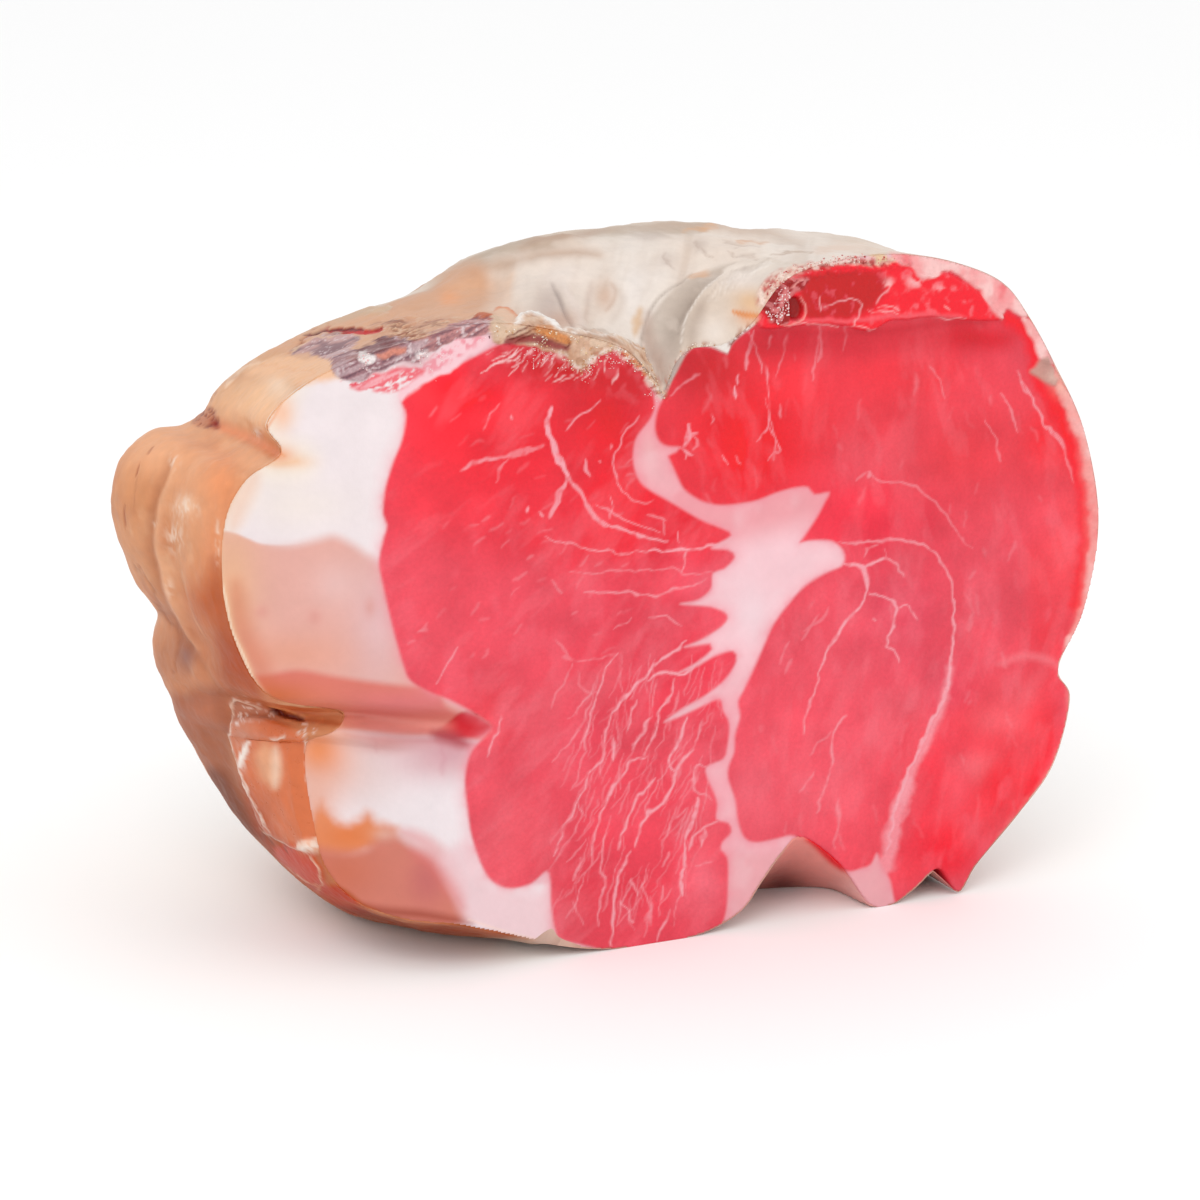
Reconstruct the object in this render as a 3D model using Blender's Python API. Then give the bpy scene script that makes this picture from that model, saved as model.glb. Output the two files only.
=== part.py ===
"""Culatello: the cut half of a boned, cured ham, standing on its underside.

The cut face looks along -Y and +Z is up. Two lean muscles run back through the
meat. The fat holds them: it is the seam between the muscles, the thick cap at
the left and the thin outer layer whose rind and casing are relief in it.
"""
from math import atan2, cos, exp, hypot, pi, sin

import bmesh
import bpy

MM = 0.001

# Driving sizes in millimetres, measured from the plane of the cut and the floor.
DEPTH = 125.0            # cut face to the rounded far end
LEAN_DEPTH = 106.0       # how far the two muscles run back
SKIN = 1.6               # fat, rind and casing outside the muscles
GAP = 0.3                # play between the muscles and the fat
AXIS_X = 32.0            # line that every section is measured from
AXIS_Z = 73.0
FULLEST = 0.40           # share of the depth where the section is fullest
END_HALF_WIDTH = 91.0    # the far end is a plain oval
END_HALF_HEIGHT = 75.0
END_X = 28.0             # and its middle lies left of the axis
OVAL_FROM = 0.90         # share of the depth from where it is fully oval
TAPER_ONSET = 2.5        # how late the far end starts to close
TAPER_ROUND = 0.47       # how bluntly it ends
CUTTER_REACH = 8.0       # how far a cutter stands out in front of the cut

# The left shoulder of fat rounds back from the cut.
SHOULDER_X = -26.0
SHOULDER_REACH = 50.0
SHOULDER_DEPTH = 18.0
# The lower lobe turns back further, left of its soft ridge.
LOBE_X = -38.0
LOBE_REACH = 24.0
LOBE_DEPTH = 12.0
LOBE_TOP = 58.0
LOBE_FADE = 6.0
LOBE_BEND = 1.3
# The groove between the two lobes, deepest at the rind and gone at its tip.
GROOVE_TIP_X = -27.0
GROOVE_TIP_Z = 56.5
GROOVE_END_X = -60.0
GROOVE_END_Z = 59.5
GROOVE_DEPTH = 9.0
GROOVE_HALF_WIDTH = 3.0
GROOVE_ONSET = 1.4       # above one, the groove reaches its depth before its end

# Outline of the cut (x, z), clockwise from the notch between the muscles.
CUT_OUTLINE = [
    (15, 128), (18, 134), (22, 137), (30, 137.5), (37, 142), (43, 149),
    (50, 152.5), (63, 154.5), (76, 154), (89, 151), (100, 146), (107, 138),
    (114, 127), (123, 110), (128, 88), (125, 67), (118.5, 53), (122, 45),
    (118, 29), (110, 17), (99, 6), (93, 0.5), (87.5, 7), (81, 3), (75, 0),
    (69, 1), (61, 12), (51, 20), (46, 17), (41, 11), (35, 4), (23, 0),
    (5, 0), (-10, 3), (-33, 11), (-46, 13), (-54, 16), (-59, 23), (-61, 34),
    (-62, 45), (-61, 53), (-55, 59), (-64, 61.5), (-73, 66), (-78, 77),
    (-80, 90), (-79, 104), (-75, 113), (-68.5, 119), (-71, 125), (-66, 132),
    (-57, 138), (-43, 143), (-26, 146), (-9, 143), (5, 138.5), (12, 132),
]

# The fullest section (x, z), behind the cut: knob and crease at the left.
FULL_OUTLINE = [
    (15, 154.5), (32, 156), (50, 155), (66, 153), (80, 150), (93, 146),
    (104, 139.5), (113, 130), (121, 112), (125, 90), (124, 68), (120, 48),
    (113, 30), (103, 12), (92, -2), (78, -12), (62, -13), (46, -6),
    (25, -3), (0, -3), (-22, -3), (-37, -1), (-48, 4), (-58, 13), (-66.5, 24),
    (-74, 37), (-79, 52), (-82.5, 64), (-81.5, 72), (-86, 81), (-89.5, 93),
    (-90.5, 104), (-88, 111), (-82, 115), (-75, 116), (-70, 119.5),
    (-66, 124), (-58, 130), (-49, 135), (-38, 139), (-26, 143.5), (-13, 149),
    (1, 153),
]

# Folds of the outside: share of the depth, height or side place, reach in depth,
# reach along the outline and how far they stand out.
FOLD_ONSET = 0.10
LEFT_SIDE_X = -20.0
LEFT_FOLDS = [
    (0.20, 92.0, 0.05, 24.0, -2.5),
    (0.38, 102.0, 0.10, 15.0, 3.5),
    (0.52, 58.0, 0.12, 16.0, 2.0),
    (0.26, 34.0, 0.06, 12.0, -1.5),
]
TOP_SIDE_Z = 110.0
TOP_FOLDS = [
    (0.30, -8.0, 0.06, 7.0, -2.5),
    (0.36, 12.0, 0.07, 6.0, 2.0),
    (0.22, 34.0, 0.06, 7.0, -2.0),
    (0.50, 50.0, 0.10, 12.0, 2.0),
    (0.55, -20.0, 0.10, 10.0, -2.5),
]

# Muscle outlines on the cut (x, z). Where a muscle reaches the outside its
# outline runs past the body, and the thin outer layer ends it.
LEFT_LEAN = [
    (13, 126), (11, 133), (6, 141), (-1, 156), (-13, 156), (-20, 142),
    (-32, 138), (-41, 135), (-45, 130), (-45, 126), (-48, 118), (-49, 109),
    (-49, 100), (-51, 95), (-49, 87), (-47, 78), (-44, 69), (-35, 65),
    (-26, 58), (-30, 51), (-32, 38), (-29, 26), (-25, 21), (-20, 19),
    (-15, 20), (-12, 22), (-12, 11), (-13, -9), (25, -9), (25, 1), (31, 7),
    (31, 18), (26, 20.5), (33, 23), (26, 26), (29, 31), (24, 36), (28, 42),
    (31.5, 46), (29, 56), (20, 53.5), (20, 56.5), (34, 65), (23, 65),
    (27, 69), (22, 71), (24, 79), (31, 75), (28, 83), (28, 87), (33, 89.5),
    (27, 92.5), (31.5, 94), (17, 103), (10, 107), (7.5, 113), (9, 120),
]
RIGHT_LEAN = [
    (16, 128), (13.5, 119), (16, 113), (19, 108), (25, 103), (35, 101),
    (50, 103.5), (56, 102), (49, 91.5), (57, 90), (63, 83), (52, 82),
    (44, 74), (37, 61), (33.5, 51), (34.5, 42), (32.5, 37), (36, 25),
    (40, 21), (50, 23), (61, 14), (69, 12), (73, 17), (77, 30), (80, 30),
    (78, 16), (79, 4), (79, -9), (140, -9), (140, 165), (46, 165),
    (42, 149), (36, 142), (30, 138), (22, 137), (18.5, 133),
]

# Shares of the radius for the rings of the cut face, and of the depth for the
# rings of the outside.
FACE_RINGS = [0.35, 0.60, 0.71, 0.80, 0.87, 0.93, 0.975]
SIDE_RINGS = [
    0.0, 0.04, 0.10, 0.17, 0.24, 0.32, 0.40, 0.49, 0.58, 0.67, 0.76, 0.84,
    0.91, 0.96, 0.99,
]
STEPS = {5.0: 1, 9.5: 2, 14.0: 3, 999.0: 4}    # outline pieces by point spacing
FLAT_ANGLE = 0.004       # faces that meet flatter than this become one
LEAST_TURN = 0.0001      # keeps points on one ray in order

FAT_COLOUR = (0.86, 0.72, 0.68, 1.0)
LEAN_COLOUR = (0.78, 0.09, 0.12, 1.0)


def clear_scene():
    for old in list(bpy.data.objects):
        bpy.data.objects.remove(old, do_unlink=True)


def make_collection(name):
    group = bpy.data.collections.new(name)
    bpy.context.scene.collection.children.link(group)
    return group


def make_material(name, colour, roughness):
    material = bpy.data.materials.new(name)
    material.use_nodes = True
    shader = material.node_tree.nodes["Principled BSDF"]
    shader.inputs["Base Color"].default_value = colour
    shader.inputs["Roughness"].default_value = roughness
    shader.inputs["Metallic"].default_value = 0.0
    return material


def spline_point(p0, p1, p2, p3, u):
    """A point between p1 and p2 on the smooth curve through all four."""
    out = []
    for a, b, c, d in zip(p0, p1, p2, p3):
        bend = (2 * a - 5 * b + 4 * c - d) * u * u + (3 * b - a - 3 * c + d) * u ** 3
        out.append(0.5 * (2 * b + (c - a) * u + bend))
    return tuple(out)


def smooth_loop(points):
    """The closed outline through the points, with more steps on longer spans."""
    out = []
    count = len(points)
    for i, start in enumerate(points):
        before = points[i - 1]
        end = points[(i + 1) % count]
        after = points[(i + 2) % count]
        span = hypot(end[0] - start[0], end[1] - start[1])
        pieces = next(n for reach, n in STEPS.items() if span <= reach)
        for k in range(pieces):
            out.append(spline_point(before, start, end, after, k / pieces))
    return out


def polar(points):
    """Angle and radius of each point about the axis, in falling angle."""
    out = []
    for x, z in points:
        angle = atan2(z - AXIS_Z, x - AXIS_X)
        if out:
            while angle > out[-1][0]:
                angle -= 2 * pi
            if out[-1][0] - angle > pi:
                angle = out[-1][0] - LEAST_TURN
        out.append((angle, hypot(x - AXIS_X, z - AXIS_Z)))
    return out


def radius_at(table, angle):
    """Radius of a closed outline at an angle, between its two nearest points."""
    turn = 2 * pi
    first = table[0][0]
    while angle > first:
        angle -= turn
    while angle <= first - turn:
        angle += turn
    count = len(table)
    for i in range(count):
        a0, r0 = table[i]
        a1, r1 = table[(i + 1) % count]
        if i == count - 1:
            a1 -= turn
        if a0 >= angle >= a1:
            return r0 + (r1 - r0) * (a0 - angle) / max(a0 - a1, 1e-9)
    return table[0][1]


def groove_depth(x, z):
    along = (GROOVE_TIP_X - x) / (GROOVE_TIP_X - GROOVE_END_X)
    if along <= 0.0:
        return 0.0
    line = GROOVE_TIP_Z + (GROOVE_END_Z - GROOVE_TIP_Z) * min(along, 1.0)
    across = (z - line) / GROOVE_HALF_WIDTH
    return GROOVE_DEPTH * min(along * GROOVE_ONSET, 1.0) * exp(-across * across)


def cut_depth(x, z):
    """How far back of the flat cut the front surface lies."""
    depth = 0.0
    if x < SHOULDER_X:
        depth += SHOULDER_DEPTH * ((SHOULDER_X - x) / SHOULDER_REACH) ** 2
    if x < LOBE_X and z < LOBE_TOP:
        fade = min((LOBE_TOP - z) / LOBE_FADE, 1.0)
        depth += fade * LOBE_DEPTH * min((LOBE_X - x) / LOBE_REACH, 1.0) ** LOBE_BEND
    return depth + groove_depth(x, z)


def fold_height(share, x, z):
    """Soft folds and bulges of the outside at a place on it."""
    out = 0.0
    if x < LEFT_SIDE_X:
        for depth, height, reach, spread, rise in LEFT_FOLDS:
            a = (share - depth) / reach
            b = (z - height) / spread
            out += rise * exp(-a * a - b * b)
    if z > TOP_SIDE_Z:
        for depth, side, reach, spread, rise in TOP_FOLDS:
            a = (share - depth) / reach
            b = (x - side) / spread
            out += rise * exp(-a * a - b * b)
    return out


def end_radius(angle):
    """Radius of the plain oval that the section turns into at the far end."""
    oval = 1.0 / hypot(cos(angle) / END_HALF_WIDTH, sin(angle) / END_HALF_HEIGHT)
    return oval + (END_X - AXIS_X) * cos(angle)


def taper(share):
    """Shrinks the section behind its fullest place to the round far end."""
    if share <= FULLEST:
        return 1.0
    s = (share - FULLEST) / (1.0 - FULLEST)
    return max(1.0 - s ** TAPER_ONSET, 0.0) ** TAPER_ROUND


def side_point(angle, front, full, share, inset):
    """A point of the outside at one angle and share of the depth."""
    blend = sin(0.5 * pi * min(share / FULLEST, 1.0))
    radius = front + (full - front) * blend
    if share > FULLEST:
        s = min((share - FULLEST) / (OVAL_FROM - FULLEST), 1.0)
        radius += (end_radius(angle) - radius) * s * s * (3.0 - 2.0 * s)
    radius *= taper(share)
    x = AXIS_X + radius * cos(angle)
    z = AXIS_Z + radius * sin(angle)
    radius += fold_height(share, x, z) * min(share / FOLD_ONSET, 1.0) - inset
    radius = max(radius, 0.0)
    x = AXIS_X + radius * cos(angle)
    z = max(AXIS_Z + radius * sin(angle), inset)
    rim = cut_depth(AXIS_X + front * cos(angle), AXIS_Z + front * sin(angle))
    y = rim + (DEPTH - inset - rim) * share
    return x, y, z


def body_mesh(name, inset, ahead):
    """The whole body, or with an inset the room inside its outer layer.

    With ahead above zero the front stands that far in front of the cut.
    """
    loop = polar(smooth_loop(CUT_OUTLINE))
    full_table = polar(smooth_loop(FULL_OUTLINE))
    rays = [(a, r, radius_at(full_table, a)) for a, r in loop]
    mesh = bmesh.new()

    def ring(places):
        return [mesh.verts.new((x * MM, y * MM, z * MM)) for x, y, z in places]

    def face_ring(share):
        places = []
        for angle, front, _ in rays:
            radius = (front - inset) * share
            x = AXIS_X + radius * cos(angle)
            z = max(AXIS_Z + radius * sin(angle), inset)
            places.append((x, cut_depth(x, z) - ahead, z))
        return ring(places)

    rings = [face_ring(share) for share in FACE_RINGS]
    if ahead > 0.0:
        rings.append(face_ring(1.0))
    for share in SIDE_RINGS:
        places = [side_point(a, r, full, share, inset) for a, r, full in rays]
        rings.append(ring(places))
    for first, second in zip(rings, rings[1:]):
        for i in range(len(first)):
            j = (i + 1) % len(first)
            mesh.faces.new((first[i], second[i], second[j], first[j]))
    start = mesh.verts.new((AXIS_X * MM, (cut_depth(AXIS_X, AXIS_Z) - ahead) * MM, AXIS_Z * MM))
    end = mesh.verts.new((AXIS_X * MM, (DEPTH - inset) * MM, AXIS_Z * MM))
    for pole, edge_ring in ((start, rings[0]), (end, rings[-1])):
        for i in range(len(edge_ring)):
            j = (i + 1) % len(edge_ring)
            mesh.faces.new((pole, edge_ring[i], edge_ring[j]))
    bmesh.ops.recalc_face_normals(mesh, faces=mesh.faces)
    bmesh.ops.triangulate(mesh, faces=mesh.faces)
    bmesh.ops.dissolve_limit(
        mesh, angle_limit=FLAT_ANGLE, verts=mesh.verts, edges=mesh.edges)
    bmesh.ops.triangulate(mesh, faces=[f for f in mesh.faces if len(f.verts) > 4])
    data = bpy.data.meshes.new(name)
    mesh.to_mesh(data)
    mesh.free()
    return data


def grow(points, amount):
    """Moves each corner of a closed outline outwards by the amount."""
    count = len(points)
    area = sum(a[0] * b[1] - b[0] * a[1] for a, b in zip(points, points[1:] + points[:1]))
    side = 1.0 if area > 0 else -1.0
    out = []
    for i in range(count):
        (x0, z0), (x1, z1), (x2, z2) = points[i - 1], points[i], points[(i + 1) % count]
        first = (z1 - z0, x0 - x1)
        second = (z2 - z1, x1 - x2)
        n0 = hypot(*first)
        n1 = hypot(*second)
        nx = first[0] / n0 + second[0] / n1
        nz = first[1] / n0 + second[1] / n1
        length = max(hypot(nx, nz), 0.7)
        reach = min(2.0 / length, 2.5) * amount
        out.append((x1 + side * nx / length * reach, z1 + side * nz / length * reach))
    return out


def prism(name, outline, y_front, y_back, group):
    """A flat outline drawn as a curve, extruded from front to back."""
    curve = bpy.data.curves.new(name, "CURVE")
    curve.dimensions = "2D"
    curve.fill_mode = "BOTH"
    curve.extrude = 0.5 * (y_back - y_front) * MM
    spline = curve.splines.new("POLY")
    spline.points.add(len(outline) - 1)
    for point, (x, z) in zip(spline.points, outline):
        point.co = (x * MM, z * MM, 0.0, 1.0)
    spline.use_cyclic_u = True
    drawn = bpy.data.objects.new(name + "_outline", curve)
    bpy.context.scene.collection.objects.link(drawn)
    drawn.rotation_euler = (0.5 * pi, 0.0, 0.0)
    drawn.location = (0.0, 0.5 * (y_front + y_back) * MM, 0.0)
    bpy.context.view_layer.update()
    shape = drawn.evaluated_get(bpy.context.evaluated_depsgraph_get())
    data = bpy.data.meshes.new_from_object(shape)
    data.transform(drawn.matrix_world)
    bpy.data.objects.remove(drawn, do_unlink=True)
    weld = bmesh.new()
    weld.from_mesh(data)
    bmesh.ops.remove_doubles(weld, verts=weld.verts, dist=1e-6)
    bmesh.ops.recalc_face_normals(weld, faces=weld.faces)
    weld.to_mesh(data)
    weld.free()
    solid = bpy.data.objects.new(name, data)
    group.objects.link(solid)
    return solid


def as_cutter(thing):
    thing.hide_render = True
    thing.display_type = "WIRE"
    return thing


def combine(thing, other, operation):
    step = thing.modifiers.new(operation.title(), "BOOLEAN")
    step.operation = operation
    step.solver = "EXACT"
    step.object = other
    return step


def make_lean(name, outline, parts, cutters):
    """One muscle, and the slightly larger cutter that makes its room."""
    core = bpy.data.objects.new(name + "_core", body_mesh(name + "_core", SKIN + GAP, 0.0))
    cutters.objects.link(as_cutter(core))
    lean = prism(name, outline, -CUTTER_REACH, LEAN_DEPTH, parts)
    combine(lean, core, "INTERSECT")

    room_core = bpy.data.objects.new(
        name + "_room_core", body_mesh(name + "_room_core", SKIN, CUTTER_REACH))
    cutters.objects.link(as_cutter(room_core))
    room = prism(
        name + "_room", grow(outline, GAP), -3.0 * CUTTER_REACH, LEAN_DEPTH + GAP, cutters)
    combine(as_cutter(room), room_core, "INTERSECT")
    return lean, room


def move_to_frame(things, x, y):
    """Puts the origin under the middle of the finished piece, on the floor."""
    for thing in things:
        for corner in thing.data.vertices:
            corner.co.x -= x * MM
            corner.co.y -= y * MM


def build():
    clear_scene()
    parts = make_collection("culatello")
    cutters = make_collection("cutters")
    fat_material = make_material("fat", FAT_COLOUR, 0.45)
    lean_material = make_material("lean", LEAN_COLOUR, 0.35)

    fat = bpy.data.objects.new("fat", body_mesh("fat", 0.0, 0.0))
    parts.objects.link(fat)
    fat.data.materials.append(fat_material)
    for name, outline in (("lean_left", LEFT_LEAN), ("lean_right", RIGHT_LEAN)):
        lean, room = make_lean(name, outline, parts, cutters)
        lean.data.materials.append(lean_material)
        combine(fat, room, "DIFFERENCE")

    corners = [v.co for v in fat.data.vertices]
    middle_x = 0.5 * (min(c.x for c in corners) + max(c.x for c in corners)) / MM
    middle_y = 0.5 * (min(c.y for c in corners) + max(c.y for c in corners)) / MM
    things = list(parts.objects) + list(cutters.objects)
    move_to_frame(things, middle_x, middle_y)


build()
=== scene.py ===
from math import cos, pi, radians, sin

import bpy
import numpy as np
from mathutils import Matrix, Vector


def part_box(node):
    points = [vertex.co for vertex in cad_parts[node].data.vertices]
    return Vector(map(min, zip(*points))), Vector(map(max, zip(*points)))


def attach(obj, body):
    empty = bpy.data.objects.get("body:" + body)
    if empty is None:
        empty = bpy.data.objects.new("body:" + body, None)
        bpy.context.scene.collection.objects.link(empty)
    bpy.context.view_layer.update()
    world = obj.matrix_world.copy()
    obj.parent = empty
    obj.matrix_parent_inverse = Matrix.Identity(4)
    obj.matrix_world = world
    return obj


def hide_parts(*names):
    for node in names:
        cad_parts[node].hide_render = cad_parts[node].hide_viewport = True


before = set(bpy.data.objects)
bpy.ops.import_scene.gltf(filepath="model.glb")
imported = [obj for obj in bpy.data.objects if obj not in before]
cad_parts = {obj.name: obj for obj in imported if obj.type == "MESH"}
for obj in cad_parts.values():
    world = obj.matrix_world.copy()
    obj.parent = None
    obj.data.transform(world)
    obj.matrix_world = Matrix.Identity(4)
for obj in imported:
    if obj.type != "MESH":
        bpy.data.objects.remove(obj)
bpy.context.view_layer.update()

# The camera looks down a little at the cut from the piece's left. All places below are
# in millimetres from the plane of the cut and the floor, and the pictured places are
# points of its square picture, 1200 wide.
AZIMUTH = radians(-24.0)
ELEVATION = radians(15.0)
CAMERA_REACH = 733.0
CAMERA_AIM = np.array([0.0, 0.0, 82.4])
LENS = 100.0
SENSOR = 36.0
PICTURE = 1200.0
RIGHT_SIDE = 128.0       # from the drawing's zero to the right end of the cut

fat_low, fat_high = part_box("fat")
ZERO = np.array([fat_high.x - 0.001 * RIGHT_SIDE, fat_low.y, 0.0])
TO_CAMERA = np.array([sin(AZIMUTH) * cos(ELEVATION), -cos(AZIMUTH) * cos(ELEVATION), sin(ELEVATION)])
CAMERA_RIGHT = np.array([cos(AZIMUTH), sin(AZIMUTH), 0.0])
CAMERA_UP = np.cross(TO_CAMERA, CAMERA_RIGHT)
CAMERA_PLACE = CAMERA_AIM + CAMERA_REACH * TO_CAMERA


def in_frame(places):
    return places * 0.001 + ZERO


def pictured(places):
    """The picture point of each place."""
    away = places - CAMERA_PLACE
    scale = -PICTURE * LENS / SENSOR / (away @ TO_CAMERA)
    return np.stack([PICTURE / 2 + (away @ CAMERA_RIGHT) * scale,
                     PICTURE / 2 - (away @ CAMERA_UP) * scale], axis=1)


bpy.ops.object.select_all(action="DESELECT")
bpy.ops.object.camera_add(location=in_frame(CAMERA_PLACE),
                          rotation=(pi / 2 - ELEVATION, 0.0, AZIMUTH))
camera = bpy.context.object
camera.data.lens = LENS
camera.data.sensor_width = SENSOR
camera.data.clip_start = 0.01
bpy.context.scene.camera = camera
bpy.context.scene.view_settings.view_transform = "Standard"

# The cut: two lean muscles and the fat between and beside them, sliced in one stroke.
# Moist meat and cured fat; the slice shows veins of fat, the dried crust under the
# casing and the folds that the knife has left. Each is its own piece, with the same skin.
CUT_OUTLINE = [
    (15, 128), (18, 134), (22, 137), (30, 137.5), (37, 142), (43, 149), (50, 152.5), (63, 154.5),
    (76, 154), (89, 151), (100, 146), (107, 138), (114, 127), (123, 110), (128, 88), (125, 67),
    (118.5, 53), (122, 45), (118, 29), (109, 18), (98, 7), (93, 0.5), (87.5, 7), (81, 3), (75, 0), (69, 1),
    (61, 12), (51, 20), (46, 17), (41, 11), (35, 4), (23, 0), (5, 0), (-10, 3), (-33, 11), (-46, 13),
    (-54, 16), (-59, 23), (-61, 34), (-62, 45), (-61, 53), (-55, 59), (-64, 61.5), (-73, 66), (-78, 77),
    (-80, 90), (-79, 104), (-75, 113), (-68.5, 119), (-71, 125), (-66, 132), (-57, 138), (-43, 143),
    (-26, 146), (-9, 143), (5, 138.5), (12, 132),
]
AXIS_X = 32.0
AXIS_Z = 73.0
CELL = 0.355             # spacing of the points of the cut
CUT_SPAN = (-82.0, 130.0, -1.0, 156.0)
SLICE_DEPTH = 12.0       # how far the pieces of the cut run back
RIM_TUCK = 0.5           # and how far back of the casing's edge their rim lies
SLICE_DRAW_IN = 0.95
CUT_SHADING = 60.0       # edges sharper than this, in degrees, stay sharp
PAINT_SHARE = 0.78       # tones are given as lit; the surface itself is darker
GLOSS_SHARE = 0.028      # and the gloss adds a little white


def step(low, high, value):
    t = np.clip((value - low) / (high - low), 0.0, 1.0)
    return t * t * (3.0 - 2.0 * t)


def lattice(x, y, z, seed):
    n = (x * 374761393 + y * 668265263 + z * 1103515245 + seed * 1274126177) & 0xFFFFFFFF
    n = ((n ^ (n >> 13)) * 1274126177) & 0xFFFFFFFF
    return ((n ^ (n >> 16)) & 0xFFFF) / 32767.5 - 1.0


def noise(places, size, seed, octaves=1):
    """Smooth random values of about -1 to 1, with features of the size."""
    total = np.zeros(len(places))
    weight = 1.0
    for octave in range(octaves):
        spot = places / size * 2 ** octave + 0.37 * octave
        base = np.floor(spot).astype(np.int64)
        part = spot - base
        part = part * part * (3.0 - 2.0 * part)
        value = np.zeros(len(places))
        for corner in range(8):
            dx, dy, dz = corner & 1, corner >> 1 & 1, corner >> 2
            share = ((part[:, 0] if dx else 1 - part[:, 0])
                     * (part[:, 1] if dy else 1 - part[:, 1])
                     * (part[:, 2] if dz else 1 - part[:, 2]))
            value += share * lattice(base[:, 0] + dx, base[:, 1] + dy, base[:, 2] + dz, seed + octave)
        total += weight * value
        weight *= 0.5
    return total


def curve_through(points, gap, closed):
    """Points at about the gap on the smooth curve through the given ones."""
    given = np.array(points, float)
    count = len(given)
    out = []
    for i in range(count if closed else count - 1):
        a, b, c, d = (given[(i + k) % count] if closed else given[min(max(i + k, 0), count - 1)]
                      for k in (-1, 0, 1, 2))
        pieces = max(1, int(np.hypot(*(c - b)) / gap))
        for k in range(pieces):
            u = k / pieces
            out.append(0.5 * (2 * b + (c - a) * u + (2 * a - 5 * b + 4 * c - d) * u * u
                              + (3 * b - a - 3 * c + d) * u ** 3))
    if not closed:
        out.append(given[-1])
    return np.array(out)


class Drawing:
    """Places on a flat drawing, sorted by height so that lines are met quickly."""

    def __init__(self, flat):
        self.flat = flat
        self.order = np.argsort(flat[:, 1], kind="stable")
        self.heights = flat[self.order, 1]

    def inside(self, outline):
        crossings = np.zeros(len(self.flat), int)
        for (a, b), (c, d) in zip(outline, np.roll(outline, -1, axis=0)):
            first, last = np.searchsorted(self.heights, (min(b, d), max(b, d)))
            if first == last:
                continue
            near = self.order[first:last]
            across = a + (self.flat[near, 1] - b) * (c - a) / (d - b)
            crossings[near] += self.flat[near, 0] < across
        return crossings % 2 == 1

    def nearest(self, line, limit):
        """Distance to the line up to the limit, place along it and the point met."""
        gap = np.full(len(self.flat), float(limit))
        along = np.zeros(len(self.flat))
        met = self.flat.copy()
        spans = len(line) - 1
        for i in range(spans):
            a, b = line[i], line[i + 1]
            first, last = np.searchsorted(
                self.heights, (min(a[1], b[1]) - limit, max(a[1], b[1]) + limit))
            near = self.order[first:last]
            side = self.flat[near, 0]
            near = near[(side > min(a[0], b[0]) - limit) & (side < max(a[0], b[0]) + limit)]
            ab = b - a
            t = np.clip((self.flat[near] - a) @ ab / max(ab @ ab, 1e-9), 0.0, 1.0)
            point = a + t[:, None] * ab
            reach = np.hypot(*(self.flat[near] - point).T)
            closer = reach < gap[near]
            chosen = near[closer]
            gap[chosen] = reach[closer]
            along[chosen] = (i + t[closer]) / spans
            met[chosen] = point[closer]
        return gap, along, met


def linear(tone):
    c = np.array(tone, float) / 255.0
    return np.where(c <= 0.04045, c / 12.92, ((c + 0.055) / 1.055) ** 2.4)


class Skin:
    """What is laid on the places of a piece: colour, height and how dull it is."""

    def __init__(self, places, ragged):
        self.places = places
        self.view = pictured(places)
        self.drawing = Drawing(self.view)
        shift = np.stack([noise(places, 2.2, 5, 2), noise(places, 2.2, 9, 2)], axis=1)
        self.loose = Drawing(self.view + ragged * shift)
        self.colour = np.ones((len(places), 3))
        self.lift = np.zeros(len(places))
        self.dull = np.full(len(places), 0.42)
        self.grit = np.zeros(len(places))
        self.shown = 1.0

    def area(self, outline, soft, loose=False):
        """One inside an outline of the picture, fading to nought over the soft edge."""
        drawing = self.loose if loose else self.drawing
        line = curve_through(outline, 4.0, True)
        gap, _, _ = drawing.nearest(np.vstack([line, line[:1]]), soft + 0.01)
        gap = np.where(drawing.inside(line), gap, -gap)
        return step(-soft, soft, gap) * self.shown

    def stroke(self, line, width, soft=1.0, loose=False, ends=0.6):
        """One on a line of the picture; its ends are narrower."""
        drawing = self.loose if loose else self.drawing
        gap, along, _ = drawing.nearest(curve_through(line, 4.0, False), width + soft + 0.01)
        half = 0.5 * width * (1.0 - ends * np.abs(2.0 * along - 1.0) ** 3)
        return step(half + soft, half - soft, gap) * self.shown

    def cloud(self, u, v, wide, high):
        d = (self.view - (u, v)) / (wide, high)
        return np.exp(-(d * d).sum(1)) * self.shown

    def mask(self, shape):
        """A cloud (u, v, wide, high), an area (outline, soft, loose) or a stroke (line,
        width, soft, loose, ends); with no shape, one everywhere."""
        if shape is None:
            return 1.0
        if not isinstance(shape[0], list):
            return self.cloud(*shape)
        if len(shape) == 2 or shape[2] is True:
            return self.area(*shape)
        return self.stroke(*shape)

    def paint(self, marks):
        """Lays marks in turn: strength, shape, tone, and a dictionary of what else changes."""
        for strength, shape, tone, *also in marks:
            self.lay(strength * self.mask(shape), tone, **(also[0] if also else {}))

    def lay(self, mask, tone, lift=0.0, dull=None, grit=None):
        """Mixes the tone in where the mask is high, and raises the places by the lift."""
        m = np.clip(mask, 0.0, 1.0)
        self.colour += m[:, None] * (linear(tone) - self.colour)
        self.lift += m * lift
        if grit is not None:
            self.grit += m * (grit - self.grit)
        if dull is not None:
            self.dull += m * (dull - self.dull)

    def shade(self, amount):
        self.colour *= np.clip(1.0 + amount, 0.0, 2.0)[:, None]


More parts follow.
